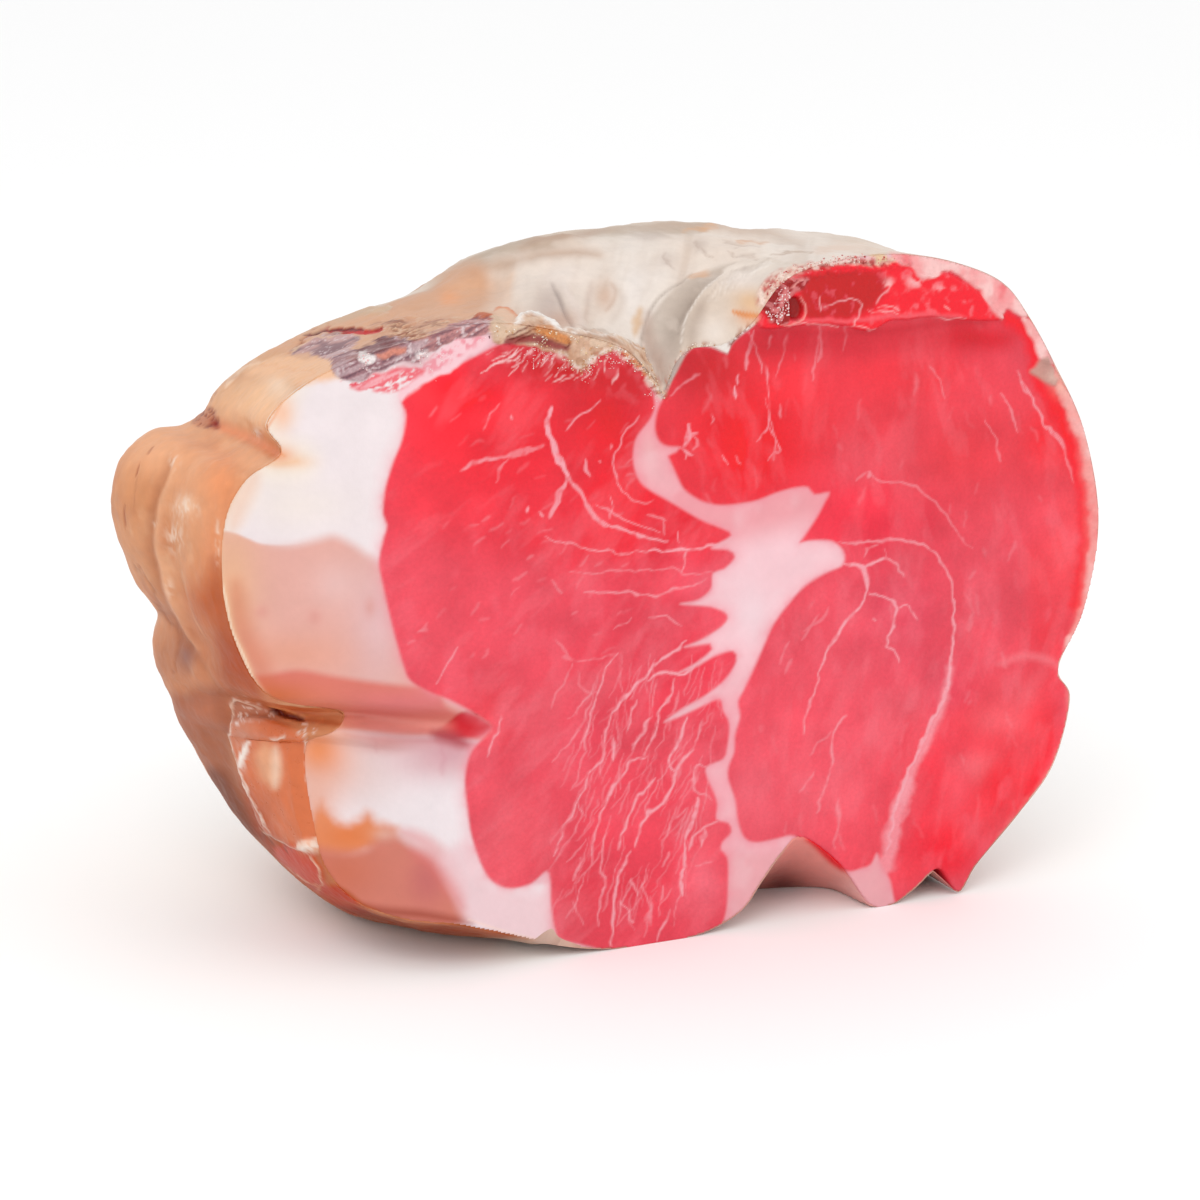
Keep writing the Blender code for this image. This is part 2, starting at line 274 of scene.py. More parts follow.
SHOULDER_FROM = -26.0    # the left of the cut falls back from here
SHOULDER_RUN = 50.0
SHOULDER_DEPTH = 18.0
LOBE_FROM = -38.0        # and below the groove the lobe falls back further
LOBE_RUN = 24.0
LOBE_DEPTH = 12.0
LOBE_TOP = 58.0
LOBE_FADE = 6.0
LOBE_BEND = 1.3
GROOVE_FROM = -27.0      # the groove between the lobes deepens to the left
GROOVE_RUN = 33.0
GROOVE_HEIGHT = 56.5
GROOVE_RISE = 3.0
GROOVE_DEPTH = 9.0
GROOVE_ONSET = 1.4
GROOVE_HALF = 3.0


def cut_depth(x, z):
    """How far back of the flat cut the front lies: the shoulder, the lobe, the groove."""
    depth = SHOULDER_DEPTH * (np.clip(SHOULDER_FROM - x, 0.0, None) / SHOULDER_RUN) ** 2
    fade = np.clip((LOBE_TOP - z) / LOBE_FADE, 0.0, 1.0)
    depth += fade * LOBE_DEPTH * np.clip((LOBE_FROM - x) / LOBE_RUN, 0.0, 1.0) ** LOBE_BEND
    along = np.clip((GROOVE_FROM - x) / GROOVE_RUN, 0.0, None)
    line = GROOVE_HEIGHT + GROOVE_RISE * np.minimum(along, 1.0)
    across = np.exp(-((z - line) / GROOVE_HALF) ** 2)
    return depth + GROOVE_DEPTH * np.minimum(GROOVE_ONSET * along, 1.0) * across


def work_on(piece):
    """Chooses the piece alone and makes it the active one."""
    bpy.ops.object.select_all(action="DESELECT")
    piece.select_set(True)
    bpy.context.view_layer.objects.active = piece


def face_outward():
    """Turns all faces of the piece in edit mode outward, and leaves edit mode."""
    bpy.ops.mesh.select_all(action="SELECT")
    bpy.ops.mesh.normals_make_consistent(inside=False)
    bpy.ops.object.mode_set(mode="OBJECT")


def smooth_shading(piece, angle):
    work_on(piece)
    bpy.ops.object.shade_smooth_by_angle(angle=radians(angle))


def keep_skin(mesh, skin, chosen):
    """Stores the laid colours, dullness and grit on the mesh's points."""
    colour = mesh.attributes.new("laid_colour", "FLOAT_COLOR", "POINT")
    values = np.ones((len(chosen), 4), np.float32)
    values[:, :3] = PAINT_SHARE * np.clip(skin.colour[chosen] - GLOSS_SHARE, 0.0, 1.0)
    colour.data.foreach_set("color", values.ravel())
    for name, amount in (("dull", skin.dull), ("grit", skin.grit)):
        kept = mesh.attributes.new(name, "FLOAT", "POINT")
        kept.data.foreach_set("value", amount[chosen].astype(np.float32))


# Outlines of the two muscles in the picture. Where a muscle reaches the outside its
# outline runs out to the crust.
LEFT_MUSCLE = [
    (402, 399), (406, 415), (402, 440), (393, 463), (385, 490), (383, 514), (387, 525), (383, 541),
    (379, 562), (383, 585), (389, 612), (396, 640), (403, 664), (410, 680), (428, 691), (450, 700),
    (474, 713), (493, 728), (480, 742), (470, 755), (465, 780), (468, 812), (472, 838), (483, 868),
    (494, 882), (510, 888), (531, 883), (546, 871), (550, 880), (551, 905), (555, 930), (562, 940),
    (588, 946), (612, 952), (640, 952), (664, 945), (712, 932), (725, 915), (728, 878), (727, 857),
    (721, 850), (722, 842), (731, 832), (728, 823), (716, 819), (717, 804), (713, 791), (708, 780),
    (706, 767), (723, 759), (727, 748), (729, 724), (723, 711), (719, 699), (702, 706), (681, 716),
    (664, 722), (681, 709), (705, 695), (725, 679), (736, 661), (733, 651), (715, 656), (695, 667),
    (675, 674), (697, 662), (712, 649), (710, 644), (684, 647), (700, 640), (722, 626), (727, 615),
    (711, 607), (680, 604), (698, 600), (711, 589), (713, 573), (724, 569), (735, 557), (728, 550),
    (711, 548), (731, 535), (718, 527), (701, 520), (667, 500), (651, 491), (640, 482), (634, 468),
    (633, 452), (637, 436), (651, 417), (654, 400), (643, 370), (618, 346), (600, 352), (580, 365),
    (570, 352), (555, 346), (540, 341), (528, 332), (515, 338), (500, 344), (480, 354), (460, 364),
    (440, 374), (420, 384),
]
RIGHT_MUSCLE = [
    (664, 396), (657, 412), (655, 430), (660, 442), (668, 446), (680, 447), (676, 452), (668, 456),
    (671, 463), (677, 476), (684, 489), (696, 498), (708, 503), (725, 505), (754, 501), (778, 492),
    (797, 487), (808, 487), (814, 494), (829, 492), (825, 501), (816, 518), (803, 538), (800, 542),
    (813, 540), (832, 541), (843, 550), (845, 560), (842, 566), (824, 574), (805, 586), (789, 603),
    (773, 625), (765, 643), (754, 668), (744, 689), (738, 702), (740, 716), (735, 735), (734, 752),
    (729, 765), (728, 778), (735, 800), (738, 822), (745, 838), (757, 842), (778, 838), (790, 835),
    (798, 838), (812, 846), (830, 860), (846, 871), (862, 868), (871, 864), (877, 853), (882, 866),
    (890, 880), (897, 905), (915, 895), (925, 880), (937, 872), (955, 905), (1000, 870), (1045, 815),
    (1070, 765), (1085, 700), (1072, 668), (1100, 605), (1112, 525), (1098, 425), (1060, 340), (1022, 290),
    (985, 262), (950, 254), (905, 258), (860, 266), (800, 280), (778, 293), (759, 318), (752, 327),
    (740, 336), (731, 345), (727, 354), (720, 351), (711, 347), (702, 346), (694, 347), (686, 354),
    (678, 369), (671, 382),
]

CELLS_ACROSS = int((CUT_SPAN[1] - CUT_SPAN[0]) / CELL)
CELLS_UPWARD = int((CUT_SPAN[3] - CUT_SPAN[2]) / CELL)

bpy.ops.mesh.primitive_grid_add(x_subdivisions=CELLS_ACROSS, y_subdivisions=CELLS_UPWARD, size=1.0)
cut = bpy.context.object
cut.name = "cut"
count = len(cut.data.vertices)
flat = np.zeros(count * 3)
cut.data.vertices.foreach_get("co", flat)
flat = flat.reshape(-1, 3) + 0.5
across = CUT_SPAN[0] + flat[:, 0] * (CUT_SPAN[1] - CUT_SPAN[0])
upward = CUT_SPAN[2] + flat[:, 1] * (CUT_SPAN[3] - CUT_SPAN[2])


def on_cut(across, upward):
    return np.stack([across, cut_depth(across, upward), upward], axis=1)


quads = np.zeros(len(cut.data.polygons) * 4, np.int64)
cut.data.polygons.foreach_get("vertices", quads)
quads = quads.reshape(-1, 4)
middles = on_cut(across[quads].mean(1), upward[quads].mean(1))
rim = curve_through(CUT_OUTLINE, 0.8, True)
in_picture = Drawing(pictured(middles))
kind = np.where(in_picture.inside(curve_through(LEFT_MUSCLE, 3.0, True)), 1, 0)
kind = np.where((kind == 0) & in_picture.inside(curve_through(RIGHT_MUSCLE, 3.0, True)), 2, kind)
kind = np.where(Drawing(middles[:, ::2]).inside(rim), kind, -1)

# No two cells of one piece may meet at a corner only, or its mesh would not be closed.
cells = kind.reshape(-1, CELLS_ACROSS)
for _ in range(3):
    here, beside, above, corner = cells[:-1, :-1], cells[:-1, 1:], cells[1:, :-1], cells[1:, 1:]
    crossed = (here == corner) & (here != beside) & (here != above)
    corner[crossed] = beside[crossed]
    crossed = (beside == above) & (beside != here) & (beside != corner)
    above[crossed] = here[crossed]

# Points at the rim are drawn onto its line.
lowest = np.full(count, 9)
highest = np.full(count, -9)
for k in range(4):
    np.minimum.at(lowest, quads[:, k], kind)
    np.maximum.at(highest, quads[:, k], kind)
at_rim = (lowest == -1) & (highest >= 0)
_, _, met = Drawing(np.stack([across, upward], axis=1)).nearest(np.vstack([rim, rim[:1]]), 1.0)
across = np.where(at_rim, met[:, 0], across)
upward = np.where(at_rim, np.maximum(met[:, 1], 0.0), upward)

skin = Skin(on_cut(across, upward), 2.0)

LEAN_ROSE = (236, 86, 102)
VEIN = (250, 178, 188)
FAT_EDGE = [
    (297, 380), (293, 385), (284, 398), (276, 414), (267, 429), (266, 440), (274, 449), (285, 456),
    (297, 461), (281, 464), (254, 464), (246, 472), (237, 490), (228, 508), (222, 522), (220, 536),
    (220, 554), (221, 577), (226, 600), (232, 630), (243, 655), (254, 681), (267, 699), (283, 708),
    (304, 716), (340, 724),
]


def cured_fat(skin):
    """White fat, creamy by the rind, darker and rosier lower down; shade at the groove and underside is
    painted.
    """
    p = skin.places
    u, v = skin.view.T
    white_fat = [
        (np.ones(len(p)), None, (236, 200, 206)),
        (step(480, 400, u), None, (243, 231, 233)),
        (0.85, (FAT_EDGE[:16], 34, 20), (249, 236, 218)),
        (0.5, (295, 505, 50, 24), (246, 234, 222)),
    ]
    skin.paint(white_fat)
    lower = [(150, 526), (223, 531), (246, 538), (262, 544), (290, 545), (315, 540), (334, 536),
             (352, 544), (366, 554), (376, 561), (420, 600), (440, 690), (500, 720), (500, 740),
             (340, 740), (200, 720)]
    crisp = step(320, 240, u)
    rosy = skin.area(lower, 2.0) * crisp + skin.area(lower, 8.0) * (1.0 - crisp)
    rosy_fat = [
        (rosy, None, (232, 176, 165)),
        (0.9 * rosy, (230, 590, 30, 80), (237, 184, 148)),
        (0.8 * rosy, (378, 625, 28, 66), (229, 190, 193)),
        (0.7 * rosy, (285, 655, 60, 22), (234, 164, 138)),
    ]
    skin.paint(rosy_fat)
    for spot_u, spot_v, wide, high in ((315, 617, 7, 8), (370, 607, 6, 11), (262, 612, 7, 7)):
        skin.lay(0.5 * skin.cloud(spot_u, spot_v, wide, high), (222, 150, 140))
    # Above the groove the fat is painted salmon and darker: partly its own tone, partly painted shade where
    # the upper lobe turns down into the groove. The paler stroke along the groove is painted light against
    # the groove's own shade.
    band = skin.area([(225, 672), (262, 675), (297, 670), (333, 676), (366, 681), (407, 686), (434, 687),
                      (446, 706), (462, 716), (470, 732), (400, 733), (340, 726), (300, 717), (267, 704),
                      (240, 690)], 5.0)
    salmon_band_and_shade = [
        (band, None, (223, 126, 113)),
        (0.5, ([(236, 585), (240, 620), (250, 650), (262, 672), (270, 698)], 24, 12), (212, 116, 84)),
        (0.4, (336, 584, 24, 22), (238, 206, 206)),
        (0.9 * band, (275, 697, 38, 16), (210, 112, 70)),
        (0.7 * band, (410, 702, 55, 13), (226, 124, 128)),
        (0.6, ([(326, 716), (350, 722), (390, 727), (440, 727), (462, 726)], 12, 10), (250, 168, 156)),
    ]
    skin.paint(salmon_band_and_shade)

    lobe = skin.area([(303, 736), (340, 729), (400, 735), (470, 738), (490, 760), (475, 800), (490, 880),
                      (560, 890), (570, 970), (440, 940), (330, 925), (290, 890), (300, 800)], 3.0)
    lower_lobe = [
        (lobe, None, (244, 234, 237)),
        # Painted shade under the groove on the lower lobe's top, with short streaks of it running down.
        (0.9, ([(346, 735), (375, 739), (400, 741), (440, 742), (480, 746)], 14, 14), (196, 118, 120)),
        (0.65 * lobe, (436, 760, 60, 22), (216, 152, 160)),
        (0.4 * lobe, (452, 752, 22, 18), (206, 140, 152)),
        (0.35, ([(371, 736), (376, 742), (377, 754)], 2, 2, True), (198, 142, 150)),
        (0.35, ([(441, 744), (443, 760), (442, 776)], 3, 4, True), (206, 140, 152)),
        (0.7, (352, 776, 46, 34), (234, 206, 202)),
        (1.0, (318, 750, 33, 38), (242, 152, 104)),
        (0.8, (314, 800, 22, 26), (240, 180, 158)),
    ]
    skin.paint(lower_lobe)
    amber = skin.area([(318, 806), (329, 812), (345, 823), (358, 819), (369, 812), (376, 822), (396, 828),
                       (390, 843), (368, 852), (345, 858), (305, 856)], 9.0, True)
    skin.lay(amber, (234, 144, 100))
    skin.lay(0.8 * amber * skin.cloud(348, 836, 24, 12), (230, 130, 78))
    # Where the lower lobe turns under, the fat is painted darker pink as painted shade; the dark brown
    # stroke along its bottom edge is painted shade by the floor.
    beneath = skin.area([(300, 850), (345, 852), (368, 847), (386, 829), (400, 836), (413, 846),
                         (428, 856), (439, 868), (450, 887), (468, 918), (440, 930), (380, 922),
                         (350, 910), (300, 890)], 9.0)
    underside_shade_and_tones = [
        (beneath, None, (216, 132, 116)),
        (0.8 * beneath, (342, 872, 34, 30), (210, 118, 92)),
        (0.7 * beneath, (428, 880, 20, 26), (202, 110, 112)),
        (0.6, ([(404, 832), (424, 842), (440, 856), (452, 872), (464, 896)], 17, 8), (232, 148, 148)),
        (0.8, ([(345, 904), (385, 911), (425, 915), (472, 923)], 8, 6), (160, 74, 58)),
        (0.8, ([(470, 840), (480, 874), (500, 892), (540, 892), (556, 880), (560, 955), (520, 940),
                (468, 920), (452, 887), (440, 860)], 9.0), (242, 207, 212)),
        (0.95, ([(255, 840), (300, 860), (322, 880), (345, 889), (363, 903), (380, 914), (340, 920),
                 (280, 900)], 3.0), (190, 94, 54)),
    ]
    skin.paint(underside_shade_and_tones)

    seam = skin.area([(615, 370), (700, 370), (870, 470), (900, 640), (765, 790), (800, 815), (900, 840),
                      (920, 920), (720, 960), (680, 960), (700, 600), (610, 480)], 12.0)
    seam_marks = [
        (seam, None, (249, 205, 212)),
        (0.95 * seam * step(556, 516, v + 0.25 * (u - 760)), None, (241, 164, 171)),
        (0.5 * seam, (650, 452, 8, 26), (242, 190, 192)),
        (0.7 * seam, (752, 612, 18, 26), (246, 220, 226)),
        (0.9 * seam * step(655, 725, v), None, (246, 178, 188)),
        (0.9 * seam * step(842, 862, v), None, (239, 175, 181)),
        (0.2 * step(0.1, 0.9, noise(p, 7.0, 45, 3)) * seam, None, (250, 222, 228)),
        (0.8, (280, 456, 15, 10), (240, 160, 112)),
        (0.5, (298, 462, 16, 7), (246, 196, 160)),
        (0.8, (FAT_EDGE[8:], 5.0, 5.0), (244, 198, 160)),
        (0.7, ([(256, 474), (246, 492), (238, 510), (233, 528)], 18.0, 10.0), (244, 206, 186)),
        # The thin bright line along the fat's edge is partly a pale rim, partly a painted highlight.
        (0.9, (FAT_EDGE[10:], 2.2, 1.2), (252, 226, 200), dict(lift=0.25, dull=0.3)),
        (0.7, (FAT_EDGE[:8], 2.4, 1.6), (238, 150, 96)),
        (0.9, ([(468, 919), (500, 930), (530, 938), (565, 945)], 2.0, 1.2), (252, 220, 210)),
    ]
    skin.paint(seam_marks)
    wedge = skin.area([(436, 734), (452, 720), (462, 713), (473, 714), (486, 721), (495, 729), (485, 737),
                       (466, 739)], 3.0)
    groove_end = [
        (0.95 * wedge * step(430, 464, u), None, (214, 34, 50), dict(lift=-0.6)),
        # Painted shade under the groove's end and along the lower lobe's rounding.
        (0.85, ([(434, 734), (450, 738), (467, 745)], 12, 7), (178, 66, 76)),
        (0.5, (382, 744, 26, 10), (208, 132, 124)),
        (0.5, ([(412, 850), (434, 866), (448, 884), (462, 906)], 13, 8), (228, 122, 120)),
        (0.5, (384, 834, 12, 7), (240, 198, 180)),
        (0.7, (282, 413, 12, 18), (250, 188, 150)),
    ]
    skin.paint(groove_end)
    skin.shade(0.025 * noise(p, 5.0, 47, 3))


cured_fat(skin)

left = skin.area(LEFT_MUSCLE, 2.2)
right = skin.area(RIGHT_MUSCLE, 2.2)
lean = np.maximum(left, right)

# Fat turns pink beside the lean.
for outline in (LEFT_MUSCLE, RIGHT_MUSCLE):
    line = curve_through(outline, 4.0, True)
    gap, _, _ = skin.loose.nearest(np.vstack([line, line[:1]]), 16.0)
    skin.lay(0.6 * np.exp(-gap / 4.5) * (1.0 - step(13.0, 16.0, gap)), (245, 146, 160))

skin.lay(0.85 * skin.stroke([(801, 836), (815, 842), (829, 852), (844, 867)], 9, 3), (238, 26, 42))

# The casing's dry flap hangs a little over the right muscle's edge, down into the notch.
hanging = skin.area([(636, 340), (643, 372), (651, 386), (661, 398), (667, 396), (671, 382), (678, 369),
                     (686, 354), (694, 347), (702, 346), (711, 347), (720, 351), (727, 354), (731, 345),
                     (740, 336), (752, 327), (759, 319), (772, 284), (700, 300)], 1.4)
dry_flap = [
    (hanging, None, (238, 229, 222), dict(lift=0.5, dull=0.6)),
    # The flap's left part, turned into the notch, is painted greyer, partly as painted shade.
    (0.9 * hanging * step(690, 676, skin.view[:, 0]), None, (198, 187, 179)),
    (0.8, ([(663, 398), (672, 382), (680, 365), (688, 350)], 4, 2), (208, 146, 138)),
    (0.6, ([(652, 382), (660, 393), (667, 393)], 6, 3), (206, 92, 84)),
]
skin.paint(dry_flap)
dashes = noise(skin.places, 0.9, 67, 2)
flap_edge = [
    (0.5 * hanging, (673, 360, 10, 12), (170, 124, 114)),
    (0.9 * hanging * step(-0.2, 0.2, dashes), ([(727, 352), (733, 341), (742, 333), (757, 322)], 7, 2),
     (146, 74, 58)),
    (0.7 * hanging, (752, 318, 12, 7), (236, 164, 116)),
]
skin.paint(flap_edge)

meat = Skin(skin.places, 2.0)
meat.lay(np.ones(count), LEAN_ROSE)
u, v = meat.view.T
soft_u = u + 9.0 * noise(meat.places, 9.0, 21, 2)
soft_v = v + 9.0 * noise(meat.places, 9.0, 22, 2)
LEAN_CLOUDS = [
    (455, 420, 75, 75, (255, 50, 64), 1.0), (430, 500, 60, 45, (250, 66, 80), 0.8),
    (520, 430, 80, 70, (246, 56, 68), 0.9), (600, 415, 60, 70, (226, 48, 57), 1.0),
    (560, 362, 60, 24, (206, 42, 48), 0.9), (640, 500, 60, 25, (240, 50, 62), 1.0),
    (690, 530, 50, 22, (242, 52, 66), 0.9), (690, 575, 45, 35, (238, 62, 80), 0.8),
    (560, 520, 60, 20, (236, 58, 72), 0.7), (500, 850, 45, 60, (243, 104, 117), 0.9),
    (480, 720, 40, 40, (244, 78, 90), 0.8), (700, 680, 45, 40, (242, 62, 82), 0.9),
    (640, 860, 90, 90, (241, 76, 94), 0.7), (590, 900, 45, 40, (230, 78, 92), 0.6),
    (430, 620, 55, 80, (241, 90, 105), 0.7), (735, 420, 75, 75, (238, 50, 58), 1.0),
    (712, 366, 50, 30, (204, 48, 54), 1.0), (800, 390, 50, 80, (248, 60, 70), 0.9),
    (870, 380, 55, 60, (244, 68, 80), 0.9), (850, 510, 60, 40, (250, 66, 84), 0.9),
    (930, 370, 60, 30, (242, 56, 67), 0.8), (960, 450, 70, 60, (240, 70, 80), 0.9),
    (1040, 440, 50, 60, (244, 74, 86), 0.9), (1000, 580, 60, 50, (231, 82, 97), 0.9),
    (1075, 560, 28, 90, (252, 84, 94), 0.9), (900, 620, 45, 60, (229, 80, 101), 0.9),
    (850, 690, 45, 70, (249, 95, 112), 0.8), (790, 740, 50, 80, (252, 94, 111), 0.8),
    (860, 810, 50, 50, (252, 96, 112), 0.8), (930, 790, 40, 60, (248, 58, 75), 0.9),
    (980, 720, 45, 40, (254, 78, 91), 0.8), (1035, 730, 45, 60, (253, 56, 70), 1.0),
    (1000, 820, 55, 50, (248, 76, 88), 0.8), (900, 865, 50, 25, (250, 76, 89), 0.6),
    (1020, 690, 30, 26, (250, 104, 116), 0.8), (983, 772, 24, 16, (252, 134, 144), 0.8),
    (1028, 782, 36, 26, (252, 40, 54), 0.9), (940, 852, 28, 22, (250, 44, 62), 0.9),
    (800, 790, 34, 40, (252, 104, 120), 0.7), (1040, 570, 16, 36, (250, 70, 80), 0.6),
    (1010, 650, 60, 22, (246, 88, 104), 0.7), (625, 640, 50, 95, (224, 62, 80), 0.55),
    (575, 535, 75, 34, (238, 54, 68), 0.8), (525, 475, 50, 45, (246, 50, 64), 0.6),
    (745, 455, 55, 42, (244, 40, 48), 0.6), (870, 530, 60, 36, (240, 52, 74), 0.55),
    (1052, 430, 28, 46, (240, 52, 62), 0.6), (750, 800, 24, 56, (255, 122, 138), 0.5),
    (702, 888, 20, 32, (255, 136, 152), 0.6), (955, 688, 24, 36, (230, 68, 88), 0.6),
    (1002, 785, 28, 30, (254, 44, 58), 0.6), (1000, 722, 24, 20, (255, 124, 134), 0.5),
    (948, 800, 16, 30, (254, 110, 124), 0.5), (470, 390, 34, 20, (254, 34, 48), 0.7),
    (1052, 640, 22, 40, (252, 60, 72), 0.6), (552, 890, 20, 40, (232, 84, 98), 0.6),
    (620, 455, 36, 50, (242, 34, 44), 0.5), (640, 535, 66, 22, (240, 46, 58), 0.55),
    (750, 470, 42, 42, (244, 34, 44), 0.5), (970, 335, 60, 18, (222, 34, 46), 0.6),
    (905, 532, 30, 28, (222, 44, 66), 0.5), (950, 682, 26, 24, (226, 72, 94), 0.5),
    (950, 832, 22, 20, (248, 34, 50), 0.6), (580, 740, 30, 30, (230, 74, 94), 0.5),
    (620, 890, 30, 26, (230, 58, 76), 0.5), (702, 588, 26, 20, (246, 120, 138), 0.5),
    # The cloud at (800, 340) is painted shadow under the raised slip.
    (430, 392, 20, 14, (254, 70, 80), 0.7), (800, 340, 58, 13, (198, 42, 58), 0.6),
    (688, 538, 48, 14, (244, 42, 58), 0.5), (620, 488, 32, 18, (244, 38, 50), 0.5),
    (462, 392, 26, 14, (254, 26, 40), 0.5), (1050, 432, 22, 30, (242, 44, 54), 0.6),
    (948, 682, 22, 22, (228, 66, 90), 0.5), (985, 335, 40, 16, (216, 30, 42), 0.5),
    (900, 290, 90, 22, (230, 50, 62), 1.0), (965, 300, 35, 16, (254, 50, 64), 0.9),
]
for cu, cv, wide, high, tone, strength in LEAN_CLOUDS:
    d = ((soft_u - cu) / wide) ** 2 + ((soft_v - cv) / high) ** 2
    meat.lay(strength * np.exp(-d), tone)
meat.colour *= (1.0, 0.93, 0.93)
meat.shade(0.09 * noise(meat.places, 7.0, 31, 3))
paler = step(0.1, 0.9, noise(meat.places * (1.0, 1.0, 0.6), 5.0, 33, 3))
meat.lay(0.22 * paler * step(470, 560, soft_v), (252, 120, 136))

# Soft wisps of marbling lie along the grain of each muscle, finer than the veins.
lower_right = right * step(560.0, 640.0, soft_v)
for part, tilt, size, seed, strength in (
        (left, 0.62, 6.0, 35, 0.15), (left, 0.95, 3.0, 36, 0.12),
        (right - lower_right, 0.1, 6.5, 37, 0.12), (right - lower_right, -0.35, 3.0, 38, 0.12),
        (lower_right, 0.4, 6.0, 39, 0.13), (lower_right, 0.15, 2.6, 40, 0.10)):
    across_grain = meat.places[:, 0] * cos(tilt) - meat.places[:, 2] * sin(tilt)
    along_grain = meat.places[:, 0] * sin(tilt) + meat.places[:, 2] * cos(tilt)
    wisp = noise(np.stack([across_grain, 0.0 * along_grain, 0.34 * along_grain], axis=1), size, seed, 4)
    meat.lay(strength * part * step(0.2, 0.95, wisp), (252, 140, 152))
    meat.lay(0.6 * strength * part * step(0.25, 0.95, -wisp), (218, 42, 56))

